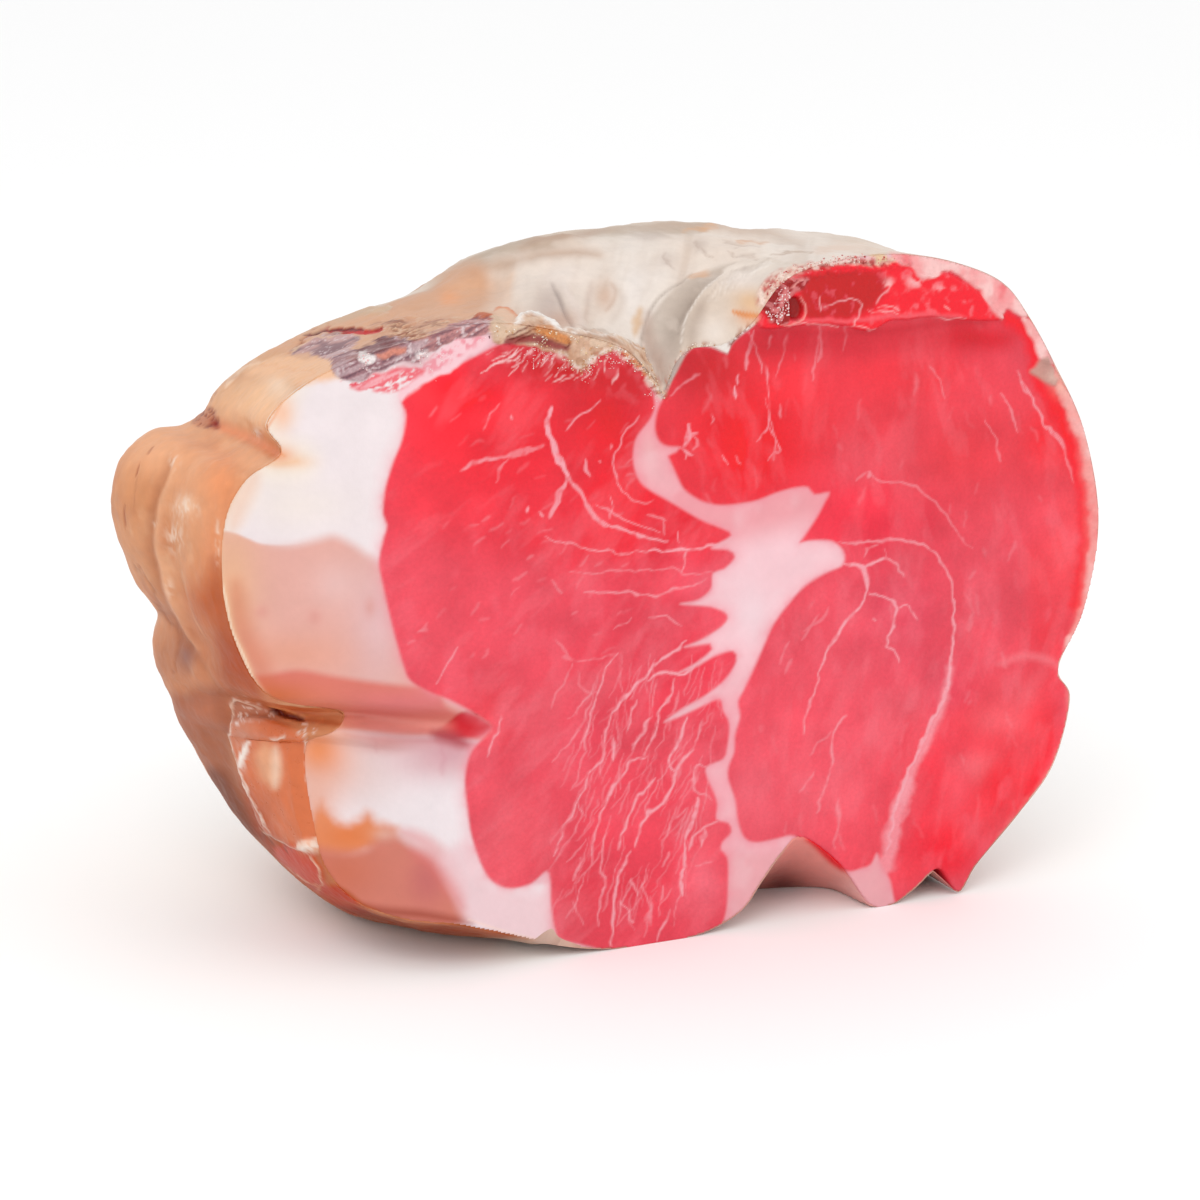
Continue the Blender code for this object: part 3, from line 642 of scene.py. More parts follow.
# Veins of fat: width, strength and the line of each in the picture.
VEINS = [
    (2.0, 0.7, [(457, 646), (448, 663), (437, 684)]), (2, 0.6, [(482, 430), (489, 416), (500, 404)]),
    (4, 0.7, [(754, 331), (750, 348), (747, 369)]), (2, 0.6, [(772, 338), (768, 350)]),
    (3, 0.6, [(819, 328), (822, 345), (819, 362)]), (2, 0.75, [(766, 364), (768, 382), (770, 402)]),
    (2, 0.75, [(770, 400), (768, 426), (757, 440)]),
    (2, 0.75, [(768, 426), (775, 440), (778, 449), (769, 460)]), (2, 0.6, [(780, 404), (779, 419)]),
    (2, 0.5, [(787, 332), (783, 352), (776, 376)]), (2.4, 0.5, [(848, 300), (846, 330), (842, 352)]),
    (2.4, 0.7, [(1018, 371), (1023, 390), (1033, 400)]),
    (3, 0.75, [(1046, 424), (1058, 436), (1066, 455), (1073, 476)]),
    (3, 0.5, [(1000, 392), (1012, 412), (1018, 432)]), (2.4, 0.4, [(930, 366), (940, 380), (944, 398)]),
    (2, 0.45, [(985, 420), (996, 440), (1000, 462)]),
    (7, 1.0, [(551, 408), (548, 427), (554, 447), (565, 469), (574, 483)]),
    (5, 0.75, [(572, 480), (584, 500), (596, 518), (608, 526)]),
    (3.4, 0.4, [(832, 766), (826, 782), (820, 800), (815, 812)]),
    (3.4, 0.35, [(838, 798), (838, 820), (834, 850)]), (3.4, 0.35, [(814, 772), (800, 792)]),
    (3.4, 0.3, [(820, 614), (800, 640)]), (3.4, 0.3, [(787, 640), (780, 665)]),
    (3, 0.9, [(600, 520), (623, 530), (646, 538), (668, 541)]),
    (6, 0.8, [(568, 474), (563, 485), (557, 500), (550, 517)]),
    (8, 0.5, [(541, 447), (530, 450), (518, 453), (508, 456)]),
    (4, 0.7, [(510, 455), (488, 459), (472, 463), (460, 471)]),
    (3, 0.5, [(506, 458), (500, 470), (496, 482)]),
    (2.2, 0.9, [(600, 399), (592, 407), (580, 415), (566, 429)]),
    (2, 0.8, [(639, 417), (626, 431), (620, 441), (614, 458), (616, 477), (623, 493), (632, 500)]),
    (4, 0.8, [(584, 460), (586, 468), (588, 477)]), (3, 0.8, [(598, 462), (600, 463)]),
    (3, 0.7, [(609, 445), (610, 450)]), (4, 0.7, [(510, 415), (513, 419)]),
    (3.5, 0.8, [(526, 508), (527, 514)]), (4, 0.7, [(539, 512), (544, 516)]),
    (2, 0.7, [(609, 497), (612, 506), (611, 518)]),
    (2, 0.7, [(596, 504), (615, 514), (632, 523), (660, 532)]),
    (2, 0.6, [(630, 500), (640, 503), (652, 502)]), (2, 0.6, [(646, 514), (655, 516), (665, 521)]),
    (2, 0.7, [(678, 532), (679, 544)]), (2, 0.6, [(662, 520), (664, 534)]),
    (2.2, 0.7, [(706, 766), (697, 766), (693, 775), (694, 786), (701, 793), (711, 800)]),
    (3.4, 0.75, [(717, 822), (704, 828), (694, 838), (690, 850)]),
    (6, 0.6, [(690, 424), (688, 434), (686, 446)]), (4, 0.6, [(680, 447), (688, 452), (684, 458)]),
    (3, 0.5, [(688, 434), (697, 440), (694, 450)]),
    (2.2, 0.75, [(545, 538), (564, 542), (586, 548), (609, 552), (632, 552), (655, 550)]),
    (3.6, 0.95, [(650, 550), (678, 550), (706, 547), (733, 543)]),
    (2.4, 0.8, [(686, 551), (686, 560), (682, 571)]),
    (2, 0.5, [(570, 571), (600, 572), (632, 570), (674, 569), (687, 574), (712, 573)]),
    (2.6, 0.7, [(584, 593), (609, 592), (632, 593), (655, 595), (678, 589), (708, 580)]),
    (3.5, 0.35, [(551, 579), (556, 585), (562, 593)]), (2.4, 0.6, [(650, 618), (667, 617), (682, 624)]),
    (2, 0.5, [(614, 629), (622, 624), (631, 617)]),
    (3, 0.35, [(556, 640), (563, 649), (568, 656), (572, 662)]), (6, 0.3, [(563, 657), (573, 659)]),
    (2, 0.4, [(572, 662), (595, 658), (618, 654)]),
    (2.4, 0.85, [(618, 653), (606, 667), (598, 689), (591, 712), (587, 732), (585, 750)]),
    (2.4, 0.4, [(571, 664), (566, 677), (556, 695), (551, 708)]),
    (2.4, 0.35, [(578, 671), (581, 687), (588, 692), (597, 692)]),
    (4, 0.95, [(686, 642), (672, 654), (657, 663), (645, 675), (635, 687), (623, 699), (612, 712)]),
    (2.6, 0.85, [(612, 710), (606, 728), (604, 744), (602, 760), (590, 771), (582, 791), (576, 803),
                 (568, 818), (561, 836), (555, 855)]),
    (3.4, 1.0, [(649, 680), (656, 676), (664, 673), (684, 674), (695, 665)]),
    (2.6, 0.85, [(673, 679), (668, 699), (660, 712), (658, 726), (651, 740), (643, 756)]),
    (3, 0.85, [(646, 756), (631, 761), (626, 773), (612, 789), (602, 812), (597, 826)]),
    (2.4, 0.75, [(597, 824), (594, 842), (592, 863)]), (2.4, 0.8, [(637, 700), (631, 714), (627, 731)]),
    (2.2, 0.75, [(650, 718), (643, 734), (633, 745)]), (2, 0.5, [(657, 680), (654, 699), (653, 716)]),
    (4, 0.95, [(686, 716), (678, 740), (670, 760), (676, 772)]),
    (3.4, 0.95, [(677, 770), (670, 789), (661, 804), (647, 812), (641, 826), (635, 848)]),
    (4, 0.8, [(693, 749), (684, 760), (676, 771)]), (2.4, 0.5, [(703, 719), (696, 740), (688, 752)]),
    (3, 0.9, [(654, 777), (637, 797), (627, 818), (621, 834), (618, 850)]),
    (2.4, 1.0, [(613, 738), (614, 761)]), (5, 0.9, [(698, 796), (694, 814), (688, 830), (684, 846)]),
    (5, 0.95, [(685, 842), (684, 863), (680, 879), (682, 895)]),
    (3.4, 0.8, [(706, 829), (702, 838), (700, 847)]),
    (3.6, 0.95, [(631, 852), (623, 867), (616, 887), (613, 908), (612, 928), (611, 946)]),
    (2.4, 0.7, [(606, 834), (602, 850), (599, 871), (606, 878), (600, 903), (598, 926)]),
    (2.2, 0.7, [(631, 879), (637, 896)]), (2.2, 0.8, [(621, 899), (633, 922)]),
    (2.2, 0.6, [(582, 858), (572, 879)]), (2.2, 0.6, [(670, 850), (662, 865)]),
    (2.2, 0.6, [(686, 809), (676, 818)]), (3, 0.8, [(670, 909), (664, 924), (657, 940)]),
    (2.4, 0.6, [(662, 885), (661, 902)]), (2, 0.5, [(696, 865), (711, 863)]),
    (1.8, 0.9, [(503, 717), (496, 734), (486, 756)]), (2, 0.6, [(578, 801), (583, 818)]),
    (2.2, 0.5, [(640, 880), (648, 900), (650, 925)]), (2, 0.5, [(570, 900), (585, 925)]),
    (3.4, 0.65, [(840, 542), (858, 543), (878, 540), (899, 540), (918, 543), (934, 552), (945, 566),
                 (951, 585), (954, 611)]),
    (4.4, 0.85, [(954, 600), (954, 638), (950, 667), (945, 694), (936, 710), (926, 735), (915, 759),
                 (903, 785), (896, 806), (891, 830), (886, 850)]),
    (5, 0.9, [(843, 562), (854, 564), (862, 568), (866, 580), (867, 592)]),
    (3.6, 0.9, [(867, 590), (861, 606), (850, 617), (837, 635), (826, 654), (818, 676)]),
    (3, 0.75, [(819, 674), (812, 697), (806, 713), (802, 734)]),
    (3.6, 0.9, [(861, 568), (875, 562), (887, 560), (893, 562)]),
    (2, 0.7, [(890, 561), (899, 566), (905, 577)]), (2.4, 0.5, [(863, 558), (868, 549), (878, 543)]),
    (2, 0.6, [(884, 549), (887, 560)]),
    (3.2, 0.85, [(869, 595), (883, 597), (892, 599), (896, 606), (893, 622), (889, 636), (884, 647)]),
    (2.6, 0.8, [(884, 647), (895, 651), (899, 662)]), (2.4, 0.75, [(896, 606), (909, 607), (918, 619)]),
    (3, 0.7, [(872, 619), (875, 620)]), (3.6, 0.3, [(829, 606), (824, 619), (803, 630)]),
    (3, 0.3, [(784, 673), (792, 659)]), (3.6, 0.6, [(832, 765), (832, 743), (837, 724), (848, 716)]),
    (3, 0.35, [(810, 753), (820, 742), (830, 732)]),
    (2.6, 0.45, [(856, 480), (869, 473), (878, 480), (904, 483), (920, 491), (944, 512), (958, 534),
                 (972, 548)]), (5, 0.5, [(867, 474), (871, 476)]),
    (2.4, 0.8, [(1020, 380), (1034, 404), (1047, 428)]),
    (2.6, 0.8, [(1047, 425), (1060, 444), (1069, 462), (1074, 482)]),
    (2, 0.7, [(745, 330), (757, 350), (761, 372)]), (2, 0.9, [(740, 374), (737, 384)]),
    (2.8, 1.0, [(734, 386), (734, 399)]), (3, 0.8, [(771, 337), (769, 344)]),
    (2, 0.6, [(764, 398), (772, 425), (775, 460)]), (2, 0.5, [(820, 325), (818, 352), (812, 380)]),
    (2.4, 0.5, [(670, 396), (680, 385), (690, 378), (700, 372)]),
    (5, 0.85, [(684, 446), (690, 436), (688, 424)]), (4, 0.8, [(684, 450), (693, 455)]),
    (3, 0.8, [(690, 436), (698, 432)]), (2, 0.8, [(721, 455), (727, 466)]),
    (2, 0.8, [(735, 455), (740, 462)]), (2, 0.7, [(710, 415), (712, 425)]),
]
vein = np.zeros(count)
for width, strength, line in VEINS:
    vein = np.maximum(vein, 0.85 * strength * meat.stroke(line, 0.8 * width, 1.1, True))
broken = noise(meat.places, 1.4, 41, 2)
for width, line in ((7, [(950, 668), (942, 704), (930, 735), (915, 768), (901, 800)]),
                    (15, [(908, 786), (899, 806), (893, 830), (889, 850), (886, 866)])):
    meat.lay(0.75 * meat.stroke(line, width, 4.0, True, 0.0), (250, 164, 174))
meat.lay(vein * (1.0 - 0.45 * step(0.1, 0.8, broken)), VEIN, lift=0.05)

# Fine fibres of the lower left muscle run down to the left.
draw = np.random.default_rng(7)
for _ in range(150):
    start_v = draw.uniform(650, 900)
    start = np.array([draw.uniform(585, 725) - 0.12 * (start_v - 650), start_v])
    heading = draw.uniform(0.15, 0.55)
    line = [start]
    for _ in range(3):
        heading += draw.uniform(-0.22, 0.22)
        line.append(line[-1] + draw.uniform(8, 17) * np.array([-sin(heading), cos(heading)]))
    meat.lay(draw.uniform(0.15, 0.45) * meat.stroke(line, draw.uniform(0.8, 1.8), 1.1, True), VEIN,
             lift=0.03)


def short_fibres(times, across, down, headings, way, lengths, strengths, widths, soft, tone, lift=0.0):
    """Straight fibres in a part of the picture; each draws its values from their spans."""
    for _ in range(times):
        start = np.array([draw.uniform(*across), draw.uniform(*down)])
        heading = draw.uniform(*headings)
        end = start + draw.uniform(*lengths) * np.array(way) * (sin(heading), cos(heading))
        strength = draw.uniform(*strengths)
        meat.lay(strength * meat.stroke([start, end], draw.uniform(*widths), soft, True), tone, lift=lift)


short_fibres(60, (400, 640), (400, 660), (0.5, 1.3), (1, -1), (6, 16), (0.08, 0.3), (1.2, 3.0), 1.8, VEIN)
short_fibres(70, (700, 1060), (350, 840), (-0.5, 0.5), (1, 1), (5, 22), (0.06, 0.22), (1.2, 3.0), 2.4, VEIN)

# Under the raised slip the meat is darkened by painted shadow; beside the casing at the right it is vivid.
slip_shadow_and_red_rim = [
    (0.55, ([(752, 346), (800, 346), (850, 343), (900, 339), (960, 333)], 22, 16), (206, 44, 54)),
    (0.5, (766, 346, 22, 14), (190, 46, 54)),
    (0.85, ([(1008, 318), (1024, 332), (1033, 350), (1038, 380), (1052, 400), (1064, 424), (1074, 455),
             (1083, 492), (1086, 530), (1082, 570), (1076, 605)], 13, 6, True, 0.1), (251, 36, 48)),
]
meat.paint(slip_shadow_and_red_rim)

# Under the crust the meat is darker, with short white fibres.
under = meat.area([(495, 342), (540, 342), (575, 352), (585, 366), (620, 346), (650, 372), (640, 400),
                   (600, 390), (560, 378), (520, 372), (500, 360)], 14.0)
meat.lay(0.6 * under, (202, 42, 46))
meat.lay(0.22 * under * step(0.0, 0.7, noise(meat.places, 1.8, 66, 2)), (244, 128, 138))
for across_crust, down_crust, lean_over, times in (
        ((492, 526), (347, 368), 0.95, 22), ((528, 572), (348, 366), 0.5, 20),
        ((540, 600), (368, 376), 0.9, 8), ((596, 640), (354, 374), 0.3, 8)):
    short_fibres(times, across_crust, down_crust, (lean_over - 0.25, lean_over + 0.25), (-1, 1),
                 (4, 10 + 9 * lean_over), (0.25, 0.8), (0.8, 1.6), 0.8, (254, 214, 214), 0.12)

skin.colour += lean[:, None] * (meat.colour - skin.colour)
skin.lift += lean * (meat.lift + 0.12)
skin.lift += 0.15 * noise(skin.places, 14.0, 51, 2)
skin.dull += lean * (0.36 - skin.dull)

# The dried crust under the casing at the top of the left muscle, in the picture.
DRIED_PATCH = [
    (333, 364), (350, 355), (368, 347), (385, 340), (412, 340), (433, 335), (454, 324), (471, 319),
    (494, 318), (492, 333), (471, 338), (450, 342), (433, 350), (417, 355), (419, 362), (402, 362),
    (381, 371), (368, 378), (350, 381), (337, 376),
]
DRIED_PATCH_LEFT = [
    (293, 354), (304, 345), (326, 336), (344, 334), (361, 340), (354, 348), (350, 357), (337, 366),
    (316, 357),
]
PINK_BAND = [
    (342, 382), (352, 388), (370, 391), (388, 393), (402, 391), (411, 384), (420, 376), (426, 369),
    (407, 368), (396, 368), (380, 373), (368, 378), (352, 380),
]
PALE_STRIPE = [
    (402, 403), (416, 390), (437, 378), (454, 368), (471, 354), (489, 343), (483, 334), (462, 336),
    (445, 348), (424, 364), (415, 378), (400, 394),
]
CRUMB_BAND = [
    (493, 318), (507, 326), (518, 322), (527, 317), (540, 319), (550, 325), (562, 329), (583, 330),
    (609, 335), (622, 339), (640, 348), (652, 372), (664, 395), (655, 390), (647, 378), (641, 367),
    (628, 356), (615, 349), (602, 353), (591, 361), (581, 369), (571, 364), (563, 356), (540, 348),
    (525, 346), (510, 342), (493, 344),
]


def dried_crust(skin):
    """Dried meat, salt and old fat between the casing and the moist cut."""
    grain = noise(skin.places, 0.9, 61, 3)
    streak = np.stack([skin.places[:, 0] * 0.9 + skin.places[:, 2] * 0.42, skin.places[:, 1],
                       (skin.places[:, 2] * 0.9 - skin.places[:, 0] * 0.42) * 9.0], axis=1)
    fibre = noise(streak, 7.0, 62, 3)
    skin.lay(0.9 * skin.area([(246, 376), (268, 362), (296, 356), (320, 358), (337, 362), (341, 378),
                              (316, 381), (300, 386), (280, 380)], 5.0, True), (246, 194, 154))
    skin.lay(skin.area([(280, 352), (299, 340), (330, 324), (400, 310), (470, 309), (500, 314), (478, 332),
                        (430, 346), (395, 350), (370, 354), (345, 362), (325, 358), (300, 360)], 4.0,
                       True), (222, 172, 140))
    crumbly = skin.area([(372, 326), (400, 318), (450, 318), (478, 318), (440, 336), (400, 346),
                         (376, 342)], 4.0, True)
    crumbly_crust = [
        (0.8 * crumbly * step(0.1, 0.6, grain), None, (242, 216, 186), dict(lift=0.2, grit=0.15)),
        (0.4 * crumbly, None, (200, 136, 106)),
        (0.8 * crumbly * step(0.1, 0.5, -fibre), None, (166, 104, 80)),
        (0.6 * step(-0.2, 0.4, -grain), ([(391, 330), (402, 324), (414, 326), (424, 336), (410, 341),
                                          (397, 340)], 3.0, True), (120, 74, 58), dict(lift=-0.4)),
        (0.7, ([(409, 327), (428, 326), (450, 324)], 1.4, 1.0, True), (140, 88, 62)),
        (1.0, (PALE_STRIPE, 2.5, True), (250, 206, 213)),
    ]
    skin.paint(crumbly_crust)
    mottled = skin.area([(405, 372), (425, 358), (450, 343), (478, 336), (484, 340), (470, 348),
                         (450, 362), (430, 374)], 3.0, True)
    skin.lay(0.6 * mottled * step(-0.1, 0.5, grain), (240, 116, 134))
    pink = skin.area(PINK_BAND, 3.0, True) * step(-0.7, -0.1, fibre + 0.6 * grain)
    pink_crust = [
        (pink, None, (242, 116, 126)),
        (0.7 * pink, (356, 386, 16, 7), (230, 70, 86)),
        (0.8 * pink * step(0.1, 0.6, fibre), None, (250, 190, 196)),
        (0.5, (414, 361, 18, 8), (206, 112, 124)),
    ]
    skin.paint(pink_crust)
    left_patch = skin.area(DRIED_PATCH_LEFT, 2.4, True)
    patch = skin.area(DRIED_PATCH, 1.6, True)
    dried_patches = [
        (left_patch, None, (204, 162, 158), dict(lift=0.2, dull=0.5)),
        (patch, None, (164, 120, 126), dict(lift=0.35, dull=0.5, grit=0.2)),
        (0.75 * patch * step(405, 440, skin.view[:, 0]), None, (212, 148, 144)),
    ]
    skin.paint(dried_patches)
    patch = np.maximum(left_patch, patch)
    dried_marks = [
        (0.65 * patch * step(0.0, 0.5, fibre), None, (110, 82, 96), dict(lift=-0.35)),
        (0.75 * patch * step(0.05, 0.5, -fibre), None, (204, 176, 180), dict(lift=0.2)),
        (0.7 * patch * step(0.4, 0.8, grain), None, (238, 220, 222), dict(lift=0.1)),
        (0.85, ([(356, 352), (370, 345), (384, 339), (396, 342), (392, 347), (377, 352), (363, 356)], 1.6,
                True), (122, 72, 74), dict(lift=-0.3)),
        (0.9, ([(375, 356), (386, 351), (399, 347), (406, 346), (404, 352), (393, 356), (381, 359)], 1.4,
               True), (222, 142, 122), dict(lift=0.2)),
        (0.8, ([(289, 355), (300, 345), (310, 337), (324, 332)], 2.0, 1.2, True), (168, 96, 62),
         dict(lift=-0.3)),
        (1.0, ([(306, 339), (322, 332), (336, 330), (349, 331), (360, 332), (370, 333), (383, 331)], 5.6,
               1.0, True), (172, 0, 0), dict(lift=-0.5)),
        (0.95, ([(348, 332), (360, 333), (372, 334), (383, 332)], 5.0, 1.2), (206, 0, 0)),
        (0.9, ([(300, 342), (312, 335), (326, 330), (344, 329), (362, 331)], 1.8, 1.0, True), (84, 10, 6)),
        (0.8, ([(383, 327), (393, 323), (402, 322)], 1.6, 1.0, True), (110, 60, 48)),
        (0.7, ([(284, 356), (300, 349), (318, 340), (338, 337)], 1.6, 1.0, True), (244, 206, 170)),
        (0.9, ([(358, 360), (361, 355), (368, 354), (375, 357), (373, 362), (366, 365)], 1.4, True),
         (254, 246, 244), dict(lift=0.6)),
        (1.2 * step(-0.1, 0.4, grain), (422, 356, 7.0, 6.0), (250, 240, 240), dict(lift=0.5)),
        (0.95, ([(470, 319), (480, 313), (489, 311), (495, 315), (492, 319), (482, 319)], 1.6, True),
         (196, 98, 56), dict(lift=0.5)),
    ]
    skin.paint(dried_marks)

    coarse = noise(skin.places, 2.0, 63, 3)
    band = skin.area(CRUMB_BAND, 1.6, True)
    crumb_marks = [
        (band, None, (216, 176, 150), dict(lift=0.5, dull=0.6, grit=0.12)),
        (0.7 * band * step(0.05, 0.5, coarse), None, (232, 204, 180), dict(lift=0.3)),
        (0.6 * band * step(0.25, 0.8, -coarse), None, (184, 134, 104), dict(lift=-0.3)),
        (0.9, ([(492, 316), (500, 317), (515, 322), (521, 327), (512, 333), (502, 337), (493, 341),
                (490, 330)], 2.0, True), (226, 196, 170)),
        (0.9, ([(490, 316), (496, 308), (508, 308), (520, 317), (524, 322), (512, 324), (500, 318)], 1.6,
               True), (232, 192, 164), dict(lift=0.2)),
        (0.9, ([(492, 309), (500, 307), (509, 310), (521, 320)], 3.0, 1.2, True), (226, 142, 102),
         dict(lift=0.3)),
        (0.9, ([(531, 330), (536, 325), (545, 327), (558, 331), (568, 336), (570, 344), (560, 342),
                (548, 338), (538, 334)], 2.0, True), (218, 140, 82), dict(lift=0.3, grit=0.25)),
    ]
    skin.paint(crumb_marks)
    strip = skin.stroke([(508, 341), (520, 339), (533, 339), (547, 342), (558, 346), (566, 349)], 9.0, 2.6,
                        True, 0.3)
    skin.lay(0.85 * strip, (150, 54, 62), lift=-0.5)
    for line in ([(507, 337), (514, 332), (523, 328), (531, 324)],
                 [(508, 340), (517, 336), (528, 331), (534, 329)],
                 [(514, 342), (524, 337), (534, 334)], [(566, 340), (569, 345), (565, 350)],
                 [(586, 367), (590, 361), (596, 357)]):
        skin.lay(0.85 * skin.stroke(line, 1.6, 1.0, True), (120, 48, 36), lift=-0.3)
    crust_edge = [
        (0.9, ([(617, 348), (629, 356), (640, 368), (647, 377)], 3.4, 1.4, True), (236, 146, 96),
         dict(lift=0.2)),
        (0.95, ([(518, 322), (526, 317), (537, 317), (546, 321), (560, 328)], 6.0, 1.4, True, 0.3),
         (251, 246, 241), dict(lift=0.8)),
        (0.85, ([(556, 327), (568, 331), (583, 332), (598, 335), (616, 339), (636, 349)], 2.2, 1.2, True),
         (246, 238, 231), dict(lift=0.4)),
        # A painted shade line under the white lip.
        (0.6, ([(574, 335), (590, 336), (609, 340), (622, 345)], 2.4, 1.6), (176, 142, 122),
         dict(lift=-0.2)),
    ]
    skin.paint(crust_edge)
    edge = skin.stroke([(560, 354), (571, 365), (581, 370), (592, 361), (603, 351), (616, 350), (629, 360),
                        (642, 370), (650, 381), (658, 392), (665, 398)], 7.0, 3.0, True, 0.0)
    skin.lay(0.8 * edge * step(-0.1, 0.5, grain), (250, 234, 222), lift=0.4)
    skin.lay(0.6 * edge * step(0.3, 0.7, -grain), (196, 110, 90))


def top_crumbs(skin):
    """Crumbs of dried meat and salt where the casing meets the raised slip."""
    grain = noise(skin.places, 1.3, 77, 3)
    crumbs = skin.stroke([(762, 302), (776, 285), (790, 275), (804, 271), (824, 270), (845, 266),
                          (866, 265), (884, 264), (904, 261)], 14.0, 3.0, True, 0.2)
    top_crumb_marks = [
        (0.8 * crumbs, None, (238, 190, 172), dict(lift=0.3, grit=0.2)),
        (0.7 * crumbs * step(0.0, 0.5, grain), None, (250, 230, 218), dict(lift=0.3)),
        (0.8 * crumbs * step(0.1, 0.5, -grain), None, (196, 60, 62), dict(lift=-0.3)),
        (0.7, ([(800, 276), (814, 270), (830, 266), (852, 263), (874, 264)], 2.4, 1.2, True),
         (160, 26, 36), dict(lift=-0.3)),
        (0.8 * step(-0.2, 0.4, grain), (880, 258, 14, 8), (230, 196, 146)),
    ]
    skin.paint(top_crumb_marks)


dried_crust(skin)
top_crumbs(skin)

# The raised slip of meat along the top, its lower edge standing over the cut, with a
# small pit full of salt at its left end and clear casing over its right end.
TOP_SLIP = [
    (757, 324), (764, 300), (775, 289), (792, 276), (818, 269), (845, 264), (880, 266), (893, 261),
    (905, 265), (925, 273), (945, 273), (960, 280), (975, 290), (986, 303), (996, 311), (1003, 318),
    (985, 320), (964, 319), (929, 316), (905, 319), (891, 319), (881, 324), (872, 329), (858, 329),
    (839, 324), (808, 324), (787, 326), (770, 328),
]
CLEAR_FLAP = [
    (888, 246), (905, 249), (929, 255), (952, 261), (971, 260), (990, 266), (1008, 280), (1022, 299),
    (1028, 315), (1021, 315), (1004, 308), (1002, 319), (990, 310), (983, 294), (966, 282), (952, 272),
    (936, 274), (919, 277), (910, 268), (896, 262),
]
RIGHT_RIM = [
    (1054, 383), (1068, 393), (1082, 417), (1092, 452), (1099, 498), (1104, 525), (1099, 562), (1097, 588),
    (1092, 608), (1080, 628), (1072, 648), (1064, 652), (1067, 638), (1076, 618), (1083, 590), (1087, 560),
    (1089, 520), (1085, 480), (1078, 445), (1066, 414), (1056, 394),
]


def clear_rim(skin):
    """Casing that is wet and clear over the meat, pale pink with red showing through and painted
    highlights.
    """
    p = skin.places
    patchy = noise(p, 5.0, 85, 3)
    for outline, tone in ((CLEAR_FLAP, (249, 168, 168)), (RIGHT_RIM, (247, 172, 166)),
                          ([(1022, 316), (1034, 323), (1045, 335), (1052, 350), (1056, 363), (1040, 361),
                            (1034, 345), (1026, 332)], (249, 174, 172))):
        clear = skin.area(outline, 2.0, True)
        skin.paint([
            (clear, None, tone, dict(lift=0.5, dull=0.26)),
            # Its pale patches are painted highlights on the wet film.
            (0.6 * clear * step(0.0, 0.8, patchy), None, (254, 222, 218), dict(lift=0.15)),
            (0.6 * clear * step(0.2, 0.9, -patchy), None, (240, 90, 100), dict(lift=-0.15)),
        ])
    rim_marks = [
        (0.55, ([(1066, 410), (1078, 440), (1086, 480), (1090, 520), (1088, 560), (1080, 610),
                 (1070, 640)], 9, 6, True), (250, 140, 138)),
        (0.7, (1060, 380, 9, 14), (246, 184, 168)),
        (0.9, ([(1030, 371), (1038, 362), (1046, 357), (1052, 368), (1057, 379), (1053, 384), (1041, 380)],
               2.2, True), (200, 158, 146), dict(lift=0.6)),
        (0.6, (1052, 376, 6, 6), (228, 192, 178)),
        (0.5, (1046, 362, 5, 6), (178, 134, 124)),
        (0.75, ([(1070, 690), (1071, 720), (1060, 757), (1040, 792), (1008, 830), (985, 866)], 9, 5, True),
         (251, 146, 146)),
        (0.6, ([(998, 664), (1024, 656), (1050, 661), (1064, 674)], 7, 5), (250, 130, 140), dict(lift=0.3)),
    ]
    skin.paint(rim_marks)


slip = skin.area(TOP_SLIP, 1.8)
# A painted shadow line under the slip's lower edge.
skin.lay(0.7 * skin.stroke([(756, 333), (800, 332), (845, 333), (885, 331), (935, 324), (985, 323)], 9, 8),
         (196, 44, 54))
skin.lay(slip, (250, 48, 60), lift=1.1)
dark_part = skin.area([(797, 277), (818, 271), (879, 272), (883, 290), (872, 304), (862, 312), (840, 317),
                       (806, 318), (800, 300)], 5.0, True)
skin.lay(dark_part, (204, 38, 48))
speck = noise(skin.places, 1.6, 53, 3)
right_part = skin.area([(880, 270), (910, 270), (950, 278), (975, 292), (990, 312), (930, 314),
                        (880, 312)], 6.0)
slip_marks = [
    (0.35 * right_part * step(0.1, 0.9, speck), None, (250, 130, 138), dict(lift=0.1)),
    (0.35 * slip * step(0.35, 0.9, speck), None, (250, 120, 130)),
    (0.75, ([(787, 321), (820, 320), (850, 319), (880, 317), (900, 314), (930, 314), (962, 317)], 5.0, 2.5,
            True), (248, 104, 114), dict(lift=0.2)),
    (0.8 * step(-0.3, 0.4, speck), (912, 281, 8, 6), (252, 196, 196)),
    (0.7 * step(-0.3, 0.4, speck), (938, 287, 9, 4), (252, 176, 180)),
    (0.8 * step(-0.3, 0.3, speck), (886, 284, 5, 6), (252, 200, 198)),
]
skin.paint(slip_marks)
for line in ([(823, 307), (838, 302), (850, 298), (857, 299), (861, 304), (858, 312), (851, 321)],
             [(819, 296), (820, 310)],
             [(873, 303), (880, 294), (889, 287)], [(874, 307), (886, 306), (898, 308)],
             [(866, 310), (882, 312), (897, 311)],
             [(942, 304), (948, 311)], [(935, 316), (948, 318), (962, 319)],
             [(848, 326), (862, 328), (874, 329)],
             [(787, 326), (800, 324), (822, 325), (838, 326)], [(852, 318), (849, 327)]):
    skin.lay(0.65 * skin.stroke(line, 1.4, 1.0, True), (252, 190, 192), lift=0.12)

